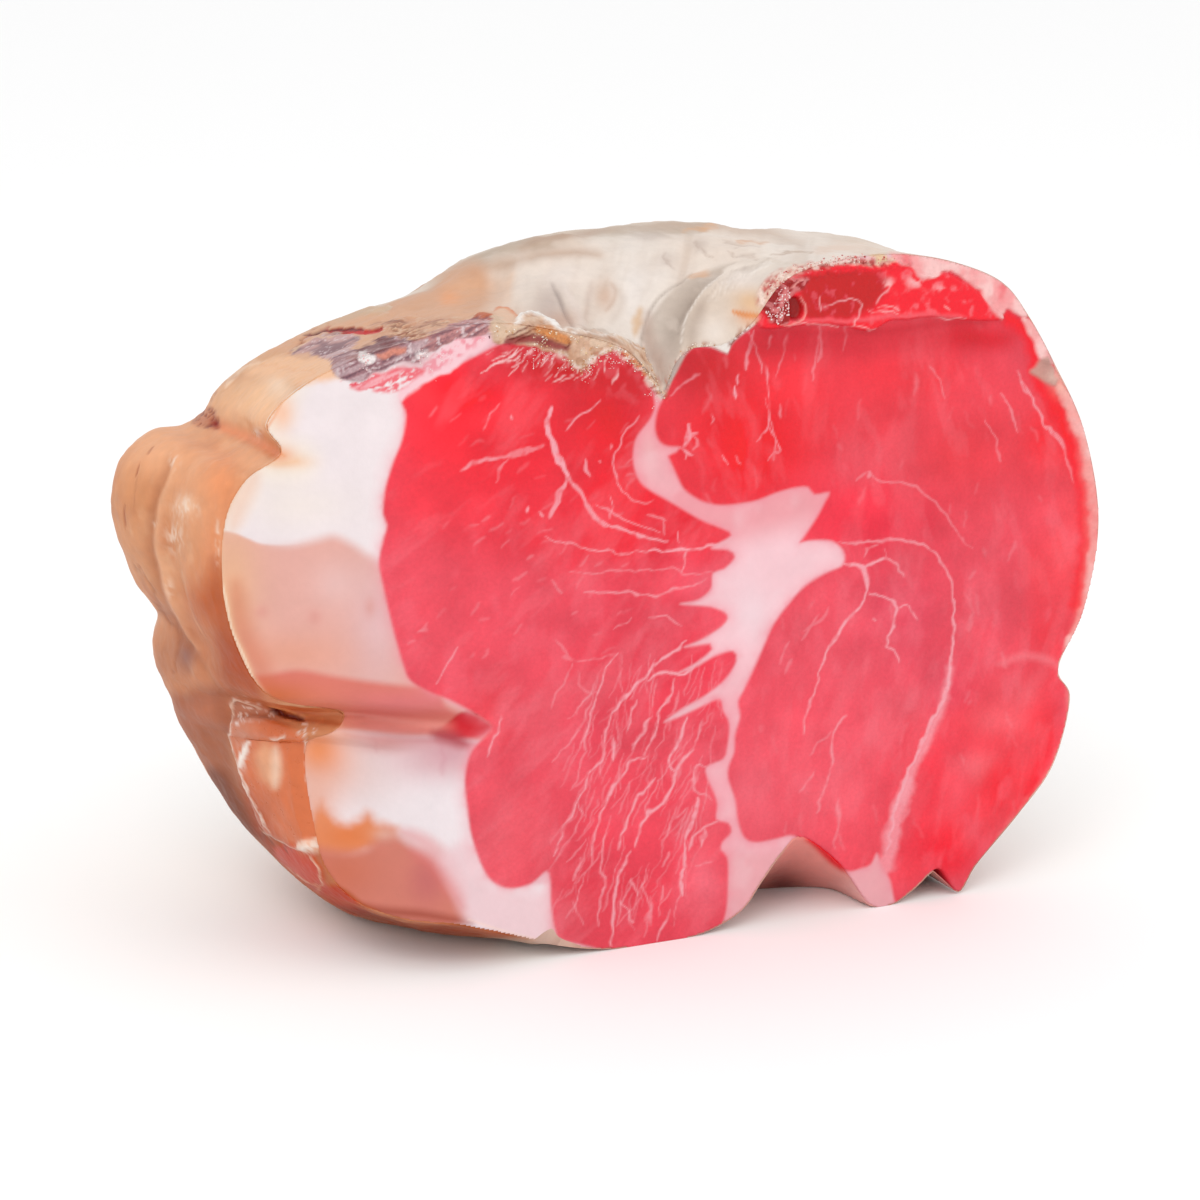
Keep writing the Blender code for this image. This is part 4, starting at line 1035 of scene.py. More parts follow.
salty = skin.area([(760, 296), (766, 288), (780, 284), (788, 292), (790, 310), (784, 322), (770, 322),
                   (762, 312)], 2.5, True)
bead = step(-0.1, 0.3, noise(skin.places, 1.1, 55, 2))
salty = np.maximum(salty, skin.area([(776, 292), (784, 281), (796, 276), (806, 278), (802, 286),
                                     (792, 290), (784, 296)], 2.5, True))
pit_marks = [
    (salty, None, (164, 32, 44), dict(lift=0.3)),
    (0.6 * salty * bead, None, (246, 158, 156), dict(lift=0.4, dull=0.2)),
    (0.95, ([(787, 300), (791, 296), (796, 297), (800, 304), (800, 312), (796, 319), (790, 319),
             (787, 311)], 2.0), (158, 26, 40), dict(lift=-1.5)),
]
skin.paint(pit_marks)
for line in ([(798, 294), (803, 302), (803, 312), (799, 320), (790, 324), (778, 323)],
             [(786, 288), (792, 282), (800, 278)]):
    skin.lay(0.8 * skin.stroke(line, 1.8, 1.0, True), (250, 168, 160), lift=0.3)
clear_rim(skin)

skin.lift *= ~at_rim
cut_places = skin.places.copy()
cut_places[:, 1] -= skin.lift
cut_places[:, 1] += RIM_TUCK * at_rim
cut.data.vertices.foreach_set("co", in_frame(cut_places).ravel())
keep_skin(cut.data, skin, np.arange(count))
cut.data.update()
bpy.ops.object.mode_set(mode="EDIT")
bpy.ops.mesh.select_mode(type="FACE")
bpy.ops.mesh.select_all(action="DESELECT")
bpy.ops.object.mode_set(mode="OBJECT")
cut.data.polygons.foreach_set("select", kind == -1)
bpy.ops.object.mode_set(mode="EDIT")
bpy.ops.mesh.delete(type="FACE")
bpy.ops.object.mode_set(mode="OBJECT")
kind = kind[kind >= 0]


def take_off(source, chosen, name):
    """Parts the chosen faces from the source as a piece of their own."""
    source.data.polygons.foreach_set("select", chosen)
    work_on(source)
    bpy.ops.object.mode_set(mode="EDIT")
    bpy.ops.mesh.separate(type="SELECTED")
    bpy.ops.object.mode_set(mode="OBJECT")
    part = next(o for o in bpy.context.selected_objects if o is not source)
    part.name = name
    return part


def run_back(piece, depth, draw_in, with_holes):
    """Runs a slice straight back and closes it, by a copy of its front if it has holes."""
    work_on(piece)
    bpy.ops.object.mode_set(mode="EDIT")
    bpy.ops.mesh.select_mode(type="EDGE")
    bpy.ops.mesh.select_all(action="DESELECT")
    if with_holes:
        bpy.ops.mesh.select_all(action="SELECT")
    else:
        bpy.ops.mesh.select_non_manifold()
    bpy.ops.mesh.extrude_region_move(TRANSFORM_OT_translate={"value": (0.0, 0.001 * depth, 0.0)})
    middle = in_frame(np.array([AXIS_X, depth, AXIS_Z]))
    bpy.ops.transform.resize(value=(draw_in, 1.0, draw_in), center_override=tuple(middle))
    if not with_holes:
        bpy.ops.mesh.fill(use_beauty=False)
    face_outward()


left_muscle = take_off(cut, kind == 1, "left_muscle")
right_muscle = take_off(cut, kind[kind != 1] == 2, "right_muscle")
fat_cut = cut
fat_cut.name = "fat_of_the_cut"


CRUMB_SCALE = 1500.0     # crumbs to the metre
CRUMB_EDGES = (0.38, 0.62)
CRUMB_TONES = (-0.75, 0.35)
GRAIN_ROUGHNESS = 0.22
RELIEF_HEIGHT = 0.0004


def moist_material(name, grain, mottle, bump):
    """The laid colour with a fine mottled grain, and a soft wet gloss.

    Where grit is laid, fine crumbs are darker and lighter by turns and stand out."""
    material = bpy.data.materials.new(name)
    material.use_nodes = True
    nodes = material.node_tree.nodes
    shader = nodes["Principled BSDF"]

    def add(kind, operation=None, **values):
        node = nodes.new("ShaderNode" + kind)
        if operation:
            node.operation = operation
        for socket, value in values.items():
            node.inputs[socket.replace("_", " ")].default_value = value
        return node

    def laid(attribute):
        node = add("Attribute")
        node.attribute_name = attribute
        return node

    colour, dull, grit = laid("laid_colour"), laid("dull"), laid("grit")
    place = add("TexCoord")
    fine = add("TexNoise", Scale=grain, Detail=4.0)
    span = add("MapRange", To_Min=1.0 - mottle, To_Max=1.0 + mottle)
    tint = add("VectorMath", "SCALE")
    crumb = add("TexNoise", Scale=CRUMB_SCALE, Detail=3.0)
    crumb_tone = add("MapRange", From_Min=CRUMB_EDGES[0], From_Max=CRUMB_EDGES[1],
                     To_Min=CRUMB_TONES[0], To_Max=CRUMB_TONES[1])
    crumb_share = add("Math", "MULTIPLY_ADD")
    crumb_share.inputs[2].default_value = 1.0
    crumbed = add("VectorMath", "SCALE")
    gloss = add("Math", "MULTIPLY_ADD")
    gloss.inputs[1].default_value = GRAIN_ROUGHNESS
    height = add("Math", "MULTIPLY_ADD")
    relief = add("Bump", Strength=bump, Distance=RELIEF_HEIGHT)
    for start, out, end, into in (
            (place, "Object", fine, "Vector"), (place, "Object", crumb, "Vector"),
            (fine, "Fac", span, "Value"), (colour, "Color", tint, 0), (span, "Result", tint, "Scale"),
            (crumb, "Fac", crumb_tone, "Value"), (crumb_tone, "Result", crumb_share, 0),
            (grit, "Fac", crumb_share, 1), (tint, "Vector", crumbed, 0),
            (crumb_share, "Value", crumbed, "Scale"), (crumbed, "Vector", shader, "Base Color"),
            (fine, "Fac", gloss, 0), (dull, "Fac", gloss, 2), (gloss, "Value", shader, "Roughness"),
            (crumb, "Fac", height, 0), (grit, "Fac", height, 1), (fine, "Fac", height, 2),
            (height, "Value", relief, "Height"), (relief, "Normal", shader, "Normal")):
        material.node_tree.links.new(start.outputs[out], end.inputs[into])
    shader.inputs["Specular IOR Level"].default_value = 0.35
    return material


lean_finish = moist_material("moist_lean", 1100.0, 0.12, 0.35)
fat_finish = moist_material("cured_fat", 700.0, 0.03, 0.12)
for piece, node, slot, finish in ((left_muscle, "lean_left", "lean", lean_finish),
                                  (right_muscle, "lean_right", "lean", lean_finish),
                                  (fat_cut, "fat", "fat", fat_finish)):
    run_back(piece, SLICE_DEPTH, SLICE_DRAW_IN, node == "fat")
    smooth_shading(piece, CUT_SHADING)
    piece.data.materials.clear()
    piece.data.materials.append(finish)
    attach(piece, "root")
    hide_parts(node)

# The casing: dry, papery skin that wraps the whole piece from the cut to the rounded
# far end, and closes under the slices. It is thin over the meat at the right and hangs
# in soft folds over the notch between the muscles.
FULL_OUTLINE = [
    (15, 154.5), (32, 155.3), (50, 153.4), (66, 152.4), (80, 151), (93, 147.5), (104, 140.5), (113, 130),
    (121, 112), (125, 90), (124, 68), (120, 48), (112, 31), (102, 13), (92, -2), (78, -12), (62, -13),
    (46, -6), (25, -3), (0, -3), (-22, -3), (-37, -1), (-48, 4), (-58, 13), (-66.5, 24), (-73, 37),
    (-78, 52), (-81.5, 64), (-81, 72), (-86, 81), (-89, 93), (-89, 104), (-86.5, 110.5), (-81, 114.5),
    (-74.5, 115), (-69.5, 118), (-66, 123), (-57.5, 129.7), (-49, 134), (-38, 138.5), (-26, 143),
    (-13, 147.8), (1, 152.2),
]
DEPTH = 125.0
FULLEST = 0.40
FAR_END = (91.0, 75.0)   # half width and half height of its oval
FAR_END_X = 28.0
OVAL_FROM = 0.90
FOLDS_LEFT = [
    (0.20, 92.0, 0.05, 24.0, -2.5), (0.38, 100.0, 0.10, 15.0, 2.0), (0.52, 58.0, 0.12, 16.0, 2.0),
    (0.26, 34.0, 0.06, 12.0, -1.5),
]
FOLDS_TOP = [
    (0.30, -8.0, 0.06, 7.0, -2.5), (0.36, 12.0, 0.07, 6.0, 2.0), (0.22, 34.0, 0.06, 7.0, -2.0),
    (0.50, 50.0, 0.10, 12.0, 2.0), (0.55, -20.0, 0.10, 10.0, -2.5),
]
RIM_WALL = 2.6           # the casing and fat outside the slices
LEAST_TURN = 0.0008      # radians between one row of points and the next
SAME_PLACE = 0.000002    # metres between points that are joined
SKIN_SHADING = 80.0      # edges sharper than this, in degrees, stay sharp
MIDDLE_DEPTH = 60.0
BACK_FROM = 80.0         # painting from the camera fades out over the far end
BACK_TO = 95.0
CREASE_TURN = 60.0       # how finely creases follow one another around the piece
CREASE_RUN = 0.28        # and how slowly they change along it
SOFT_COLUMNS = 16.0      # columns of points over which a line is evened out
SOFT_REACH = 48


def rays(outline, spacing):
    """Falling angles about the axis, and the reach of the outline at each."""
    loop = curve_through(outline, 0.12, True)
    loop = np.vstack([loop, loop[:1]])
    need = np.hypot(*np.diff(loop, axis=0).T) / spacing(loop[:-1])
    total = np.concatenate([[0.0], np.cumsum(need)])
    marks = np.linspace(0.0, total[-1], int(total[-1]), endpoint=False)
    x = np.interp(marks, total, loop[:, 0]) - AXIS_X
    z = np.interp(marks, total, loop[:, 1]) - AXIS_Z
    turn = np.minimum.accumulate(np.unwrap(np.arctan2(z, x)))
    _, kept = np.unique(np.round(-turn / LEAST_TURN), return_index=True)
    return turn[kept], np.hypot(x, z)[kept]


def reach_at(turn, outline):
    other, reach = rays(outline, lambda p: np.full(len(p), 0.5))
    shifted = np.concatenate([other - 2 * pi, other, other + 2 * pi])
    order = np.argsort(shifted)
    return np.interp(turn, shifted[order], np.tile(reach, 3)[order])


def outside(turn, front, share):
    """Places of the outside for each ray (across) and share of the depth (down)."""
    full = reach_at(turn, FULL_OUTLINE)
    share = share[:, None]
    reach = front + (full - front) * np.sin(0.5 * pi * np.minimum(share / FULLEST, 1.0))
    oval = 1.0 / np.hypot(np.cos(turn) / FAR_END[0], np.sin(turn) / FAR_END[1])
    oval = oval + (FAR_END_X - AXIS_X) * np.cos(turn)
    to_oval = step(FULLEST, OVAL_FROM, share)
    reach = reach + (oval - reach) * to_oval
    closing = np.clip((share - FULLEST) / (1.0 - FULLEST), 0.0, 1.0)
    reach = reach * np.clip(1.0 - closing ** 2.5, 0.0, 1.0) ** 0.47
    x = AXIS_X + reach * np.cos(turn)
    z = AXIS_Z + reach * np.sin(turn)
    rise = np.zeros_like(reach)
    for folds, side, where in ((FOLDS_LEFT, z, x < -20.0), (FOLDS_TOP, x, z > 110.0)):
        for depth, middle, deep, wide, height in folds:
            bump = np.exp(-((share - depth) / deep) ** 2 - ((side - middle) / wide) ** 2)
            rise += where * height * bump
    reach = np.clip(reach + rise * np.minimum(share / 0.10, 1.0), 0.0, None)
    x = AXIS_X + reach * np.cos(turn)
    z = np.maximum(AXIS_Z + reach * np.sin(turn), 0.0)
    rim = cut_depth(AXIS_X + front * np.cos(turn), AXIS_Z + front * np.sin(turn))
    return np.stack([x, rim + (DEPTH - rim) * share, z], axis=2)


def softened(ring, full_turn):
    """Values of the ring of columns, evened out over their neighbours."""
    away = np.arange(-SOFT_REACH, SOFT_REACH + 1)
    weight = np.exp(-0.5 * (away / SOFT_COLUMNS) ** 2)
    longer = np.concatenate([ring[-SOFT_REACH:] + full_turn, ring, ring[:SOFT_REACH] - full_turn])
    return np.convolve(longer, weight / weight.sum(), "valid")


def outward(sheet, closed):
    """The outward direction at each place of a sheet of rows and columns."""
    if closed:
        padded = np.concatenate([sheet[:, -1:], sheet, sheet[:, :1]], axis=1)
        along = padded[:, 2:] - padded[:, :-2]
    else:
        along = np.gradient(sheet, axis=1)
    down = np.gradient(sheet, axis=0)
    normal = np.cross(along, down)
    normal /= np.maximum(np.linalg.norm(normal, axis=2, keepdims=True), 1e-9)
    middle = np.array([AXIS_X, MIDDLE_DEPTH, AXIS_Z])
    if ((sheet - middle) * normal).sum() < 0.0:
        normal = -normal
    return normal


def turned_to_camera(skin, normals):
    """One where the outside faces the camera in front, nought behind and beneath."""
    towards = CAMERA_PLACE - skin.places
    towards /= np.linalg.norm(towards, axis=1, keepdims=True)
    return step(-0.02, 0.12, (towards * normals).sum(1)) * step(BACK_TO, BACK_FROM, skin.places[:, 1])


def creased(places, size, seed, width):
    """One in long creases that run from the cut to the far end, nought between them."""
    turning = np.arctan2(places[:, 2] - AXIS_Z, places[:, 0] - AXIS_X)
    lengthwise = np.stack([CREASE_TURN * np.cos(turning), CREASE_TURN * np.sin(turning),
                           CREASE_RUN * places[:, 1]], axis=1)
    return step(width, 0.0, np.abs(noise(lengthwise, size, seed, 2)))


def sheet_of(turn, front, share, closed):
    """A sheet of places of the outside, its outward directions and its skin."""
    sheet = outside(turn, front, share)
    normals = outward(sheet, closed).reshape(-1, 3)
    skin = Skin(sheet.reshape(-1, 3), 2.5)
    skin.shown = turned_to_camera(skin, normals)
    return sheet, normals, skin


def raised(skin, normals, hold):
    """Where the skin's places lie once it is lifted; nothing moves at the floor."""
    lift = skin.lift * hold * step(0.0, 3.0, skin.places[:, 2])
    places = skin.places + normals * lift[:, None]
    places[:, 2] = np.maximum(places[:, 2], 0.0)
    return places


def casing_tones(skin):
    """Dry casing: grey-beige and cream with ochre stains; rosier over the meat."""
    p = skin.places
    skin.paint([
        (np.ones(len(p)), None, (222, 202, 183)),
        (0.8 * step(-0.3, 0.7, noise(p, 26.0, 71, 3)), None, (238, 224, 212)),
        (0.6 * step(0.1, 0.9, noise(p, 19.0, 73, 3)), None, (198, 172, 148)),
        (0.5 * step(0.3, 0.95, noise(p, 14.0, 75, 3)), None, (226, 168, 124)),
        (0.35 * step(0.2, 0.9, noise(p, 5.0, 76, 3)), None, (244, 236, 228)),
    ])
    front = step(55.0, 6.0, p[:, 1])
    right_side = step(96.0, 118.0, p[:, 0]) * step(150.0, 120.0, p[:, 2])
    skin.paint([
        (0.6 * right_side * front, None, (240, 172, 162)),
        (0.5 * step(24.0, 4.0, p[:, 2]), None, (206, 160, 138)),
        (0.6 * step(30.0, 10.0, p[:, 2]) * front * step(-20.0, 10.0, p[:, 0]), None, (196, 118, 106)),
    ])
    # Long creases, sunk and darkened with painted shade.
    for size, seed, width, depth in ((15.0, 131, 0.24, 1.0), (8.0, 133, 0.26, 0.5)):
        off_axis = np.hypot(p[:, 0] - AXIS_X, p[:, 2] - AXIS_Z)
        fold = creased(p, size, seed, width) * step(8.0, 25.0, p[:, 1]) * step(12.0, 52.0, off_axis)
        skin.lay(0.26 * fold, (184, 154, 130), lift=-depth)
    skin.shade(0.03 * noise(p, 3.0, 89, 3))


def casing_marks(skin):
    """The folds and stains of the casing that face the front, with painted light and shade on the folds and
    painted shadow in the hollow.
    """
    p = skin.places
    grain = noise(p, 1.0, 77, 3)
    u, v = skin.view.T
    dome = skin.area([(380, 330), (380, 290), (440, 262), (520, 225), (660, 205), (780, 215), (900, 240),
                      (960, 250), (930, 280), (760, 330), (640, 400), (480, 340)], 12.0)
    skin.lay(dome, (238, 227, 218))
    # Soft folds of the drape: raised and painted lighter on their crests, sunk and painted darker in their
    # hollows, painted light and shade over the lift.
    drape = noise(np.stack([u + 0.25 * v, 0.0 * u, 0.3 * v], axis=1), 16.0, 79, 3)
    dome_marks = [
        (0.5 * dome * step(0.1, 0.9, drape), None, (246, 238, 230), dict(lift=0.5)),
        (0.45 * dome * step(0.1, 0.9, -drape), None, (214, 196, 182), dict(lift=-0.5)),
        (1.0, ([(380, 310), (440, 268), (520, 232), (600, 214), (700, 210), (700, 232), (640, 234),
                (575, 240), (533, 252), (495, 260), (455, 280), (410, 298)], 7.0, True), (200, 184, 168)),
        (0.8, ([(556, 244), (575, 240), (598, 238), (622, 240)], 5, 5), (236, 226, 216), dict(lift=0.2)),
        # A painted shade band along the dome's soft ridge.
        (0.8, ([(462, 278), (490, 268), (529, 259), (552, 254), (580, 252), (600, 255)], 9, 7),
         (196, 168, 148), dict(lift=-0.4)),
        (0.5, (498, 296, 14, 22), (226, 184, 156)),
        (0.6, (510, 318, 26, 10), (224, 184, 160)),
        (0.6, (556, 322, 18, 9), (204, 176, 158)),
        (0.8, ([(540, 236), (575, 228), (610, 226), (650, 225), (700, 224), (760, 232), (800, 243)], 9, 7),
         (204, 180, 162)),
        (0.95, ([(370, 326), (396, 290), (440, 268), (478, 262), (490, 290), (480, 312), (430, 322)],
                10.0), (218, 172, 142)),
        (0.6, (468, 284, 22, 10), (236, 184, 146)),
        (0.85, (448, 296, 12, 9), (242, 174, 128)),
        (0.5, (412, 303, 24, 10), (222, 176, 146)),
        (0.6, ([(513, 272), (509, 284), (508, 298)], 6, 6), (240, 206, 180)),
        (0.6, (523, 284, 9, 26), (245, 236, 229), dict(lift=0.3)),
        # Painted shade left of the dark fold.
        (0.6, (545, 308, 22, 24), (204, 190, 182)),
        (0.75, (605, 296, 10, 15), (214, 180, 158), dict(lift=-0.3)),
        (0.6, ([(611, 284), (616, 291), (613, 302), (606, 311)], 3, 3), (198, 164, 142)),
        (0.6, (634, 294, 12, 26), (243, 234, 229), dict(lift=0.2)),
        (0.5, ([(592, 283), (588, 300), (586, 318)], 6, 5), (196, 172, 160)),
        (0.4, ([(619, 290), (622, 305), (612, 322)], 7, 6), (206, 186, 172)),
        # More painted shade left of the dark fold; the fold darkened as painted shade in its crease, the
        # casing sunk along it; a raised ridge right of it painted lighter as painted light.
        (0.6, (550, 306, 13, 22), (198, 184, 180), dict(lift=-0.4)),
        (0.75, ([(552, 283), (556, 291), (561, 301), (566, 314), (574, 328)], 3.0, 3.0), (146, 130, 128),
         dict(lift=-0.9)),
        (0.6, ([(562, 284), (570, 298), (576, 312), (583, 326)], 7.0, 5.0), (232, 222, 218),
         dict(lift=0.5)),
        (0.8, ([(640, 310), (637, 322), (634, 335)], 8, 4, True), (222, 184, 146)),
        (0.7, ([(685, 230), (700, 228), (718, 228)], 3, 2.5, True), (232, 176, 128)),
        (0.7, ([(737, 244), (752, 242), (768, 242)], 2.4, 2.0, True), (220, 166, 124)),
        (0.6, ([(770, 257), (785, 253), (800, 252), (814, 254)], 1.8, 1.4, True), (176, 140, 112)),
    ]
    skin.paint(dome_marks)
    for line, width in (([(694, 242), (699, 249), (706, 256), (714, 259)], 2.2),
                        ([(722, 243), (738, 247), (760, 247)], 1.8),
                        ([(727, 254), (740, 258), (756, 258)], 1.8),
                        ([(664, 256), (668, 264), (673, 268)], 3.0)):
        skin.lay(0.55 * skin.stroke(line, width, 1.8, True), (188, 168, 156), lift=-0.3)
    for u0, v0, wide, high in ((667, 261, 9, 7), (700, 247, 10, 8), (650, 236, 18, 5)):
        skin.lay(0.5 * skin.cloud(u0, v0, wide, high), (196, 180, 172))

    # Grey layers of casing that dip into the notch, with bands and lines of painted shade down their folds,
    # then a bright dry flap.
    first = skin.area([(706, 272), (686, 280), (670, 293), (657, 309), (648, 322), (642, 336), (640, 348),
                       (655, 375), (664, 397), (672, 376), (686, 352), (690, 330), (700, 298), (718, 280),
                       (736, 264)], 3.0)
    first_layer = [
        (first, None, (208, 195, 184)),
        # A broad band and a thin dark line of painted shade down the fold.
        (0.8 * first, ([(716, 280), (700, 294), (687, 310), (676, 330), (668, 356)], 22, 10),
         (180, 167, 157)),
        (0.6, ([(692, 273), (680, 281), (667, 291), (654, 304), (646, 321), (641, 339)], 2.4, 2.0),
         (160, 145, 134), dict(lift=-0.6)),
        (0.5 * first * step(0.0, 0.7, noise(p, 3.0, 81, 3)), None, (216, 203, 193)),
        (0.6, (664, 366, 11, 22), (216, 200, 192)),
    ]
    skin.paint(first_layer)
    flap = skin.area([(736, 264), (716, 280), (700, 298), (688, 318), (684, 338), (678, 360), (690, 350),
                      (706, 347), (716, 351), (728, 355), (736, 340), (750, 330), (764, 324), (770, 300),
                      (800, 276), (790, 262)], 3.0, True)
    flap_marks = [
        (flap, None, (228, 215, 203), dict(lift=0.5)),
        # A band of painted shade across the flap.
        (0.8 * flap, ([(704, 304), (698, 316), (693, 330), (690, 346)], 15, 8), (190, 174, 162)),
        (0.8 * flap, (742, 271, 34, 9), (244, 237, 230)),
        # A dark line of painted shade.
        (0.55, ([(695, 299), (688, 308), (681, 320), (678, 334)], 3.4, 2.5), (164, 151, 142),
         dict(lift=-0.6)),
        (0.8, ([(726, 274), (709, 286), (700, 297), (694, 306), (686, 319), (683, 330), (681, 343)], 1.6,
               1.0), (246, 240, 234), dict(lift=0.2)),
        (0.85 * flap, (714, 334, 15, 15), (242, 235, 229)),
    ]
    skin.paint(flap_marks)
    # Fine wrinkles of the flap, each a pale line of painted light with a darker line of painted shade
    # beside it.
    for k in range(6):
        fine = [(710 + 7 * k, 304 - 3 * k), (717 + 7 * k, 291 - 3 * k), (731 + 7 * k, 280 - 2 * k),
                (750 + 5 * k, 273 - 2 * k)]
        skin.lay(0.5 * flap * skin.stroke(fine, 1.1, 0.9, True), (250, 245, 240), lift=0.1)
        skin.lay(0.4 * flap * skin.stroke([(u0 - 3, v0 - 2) for u0, v0 in fine], 1.1, 1.0, True),
                 (184, 170, 160))
    flap_edge = [
        (0.85, (752, 303, 17, 13), (238, 200, 160)),
        (0.9, ([(733, 313), (745, 316), (756, 316), (764, 319)], 5.0, 1.6), (228, 146, 84)),
        (0.6, ([(690, 277), (700, 274), (710, 275)], 5.0, 3.0, True), (230, 178, 136)),
    ]
    skin.paint(flap_edge)
    edge = skin.stroke([(690, 349), (705, 346), (716, 350), (728, 355), (736, 340), (750, 329),
                        (766, 322)], 7.0, 3.0, True, 0.0)
    skin.lay(0.7 * edge * step(0.0, 0.4, grain), (168, 96, 66))
    notch = skin.stroke([(640, 348), (650, 366), (658, 384), (665, 397), (672, 378), (684, 355)], 9.0, 3.0,
                        True, 0.0)
    notch_marks = [
        (0.8 * notch * step(-0.1, 0.4, grain), None, (240, 222, 212), dict(lift=0.3)),
        (0.7 * notch * step(0.2, 0.6, -grain), None, (196, 120, 104)),
        (0.6, ([(522, 250), (550, 238), (580, 233), (612, 222)], 10, 8), (192, 158, 136)),
        (0.5, ([(815, 250), (850, 247), (892, 250)], 8, 5, True), (228, 186, 158)),
        (0.6, (560, 320, 20, 10), (204, 166, 148)),
        (0.5, ([(648, 314), (647, 332), (652, 350), (662, 372)], 13, 8), (184, 150, 136)),
        (0.5, (750, 319, 13, 8), (240, 162, 108)),
        (0.5, (562, 275, 24, 13), (246, 240, 238)),
        (0.4, (650, 278, 20, 14), (246, 239, 235)),
        (0.5, (744, 283, 26, 10), (246, 241, 240)),
    ]
    skin.paint(notch_marks)
    warm = dome * (1.0 - 0.8 * np.exp(-((u - 630) / 40.0) ** 2)) * (1.0 - 0.6 * step(740.0, 790.0, u))
    skin.colour *= 1.0 - warm[:, None] * (0.02, 0.08, 0.125)
    dried_crust(skin)
    skin.lay(0.5 * skin.stroke([(575, 328), (596, 330), (612, 334)], 2.0, 1.4, True), (168, 140, 122))

    # Crumbs along the top right edge, then clear wet casing over meat.
    top_crumbs(skin)
    wet = skin.area([(1032, 322), (1050, 340), (1110, 420), (1120, 540), (1100, 640), (1060, 680),
                     (1090, 720), (1070, 800), (960, 920), (930, 900), (1000, 700), (1010, 400)], 5.0, True)
    skin.lay(wet, (250, 150, 152), dull=0.3)
    clear_rim(skin)
    # The hollow under the arch: a pink inner wall with a painted shadow at its bottom left, and along the
    # bottom edge a strip of painted shade on the underside.
    hollow = skin.area([(700, 935), (745, 902), (775, 862), (800, 826), (815, 824), (832, 846), (850, 868),
                        (880, 862), (905, 905), (890, 925), (760, 910)], 4.0)
    hollow_marks = [
        (hollow, None, (246, 158, 148)),
        (0.85 * hollow, (782, 886, 26, 24), (104, 40, 32)),
        (0.9 * hollow, (862, 892, 36, 20), (254, 196, 190)),
        (0.95, ([(804, 834), (818, 843), (832, 857), (846, 870)], 12, 3), (244, 26, 42)),
        (0.9, ([(430, 930), (480, 940), (540, 948), (620, 956), (700, 950)], 20, 5), (150, 84, 72)),
    ]
    skin.paint(hollow_marks)


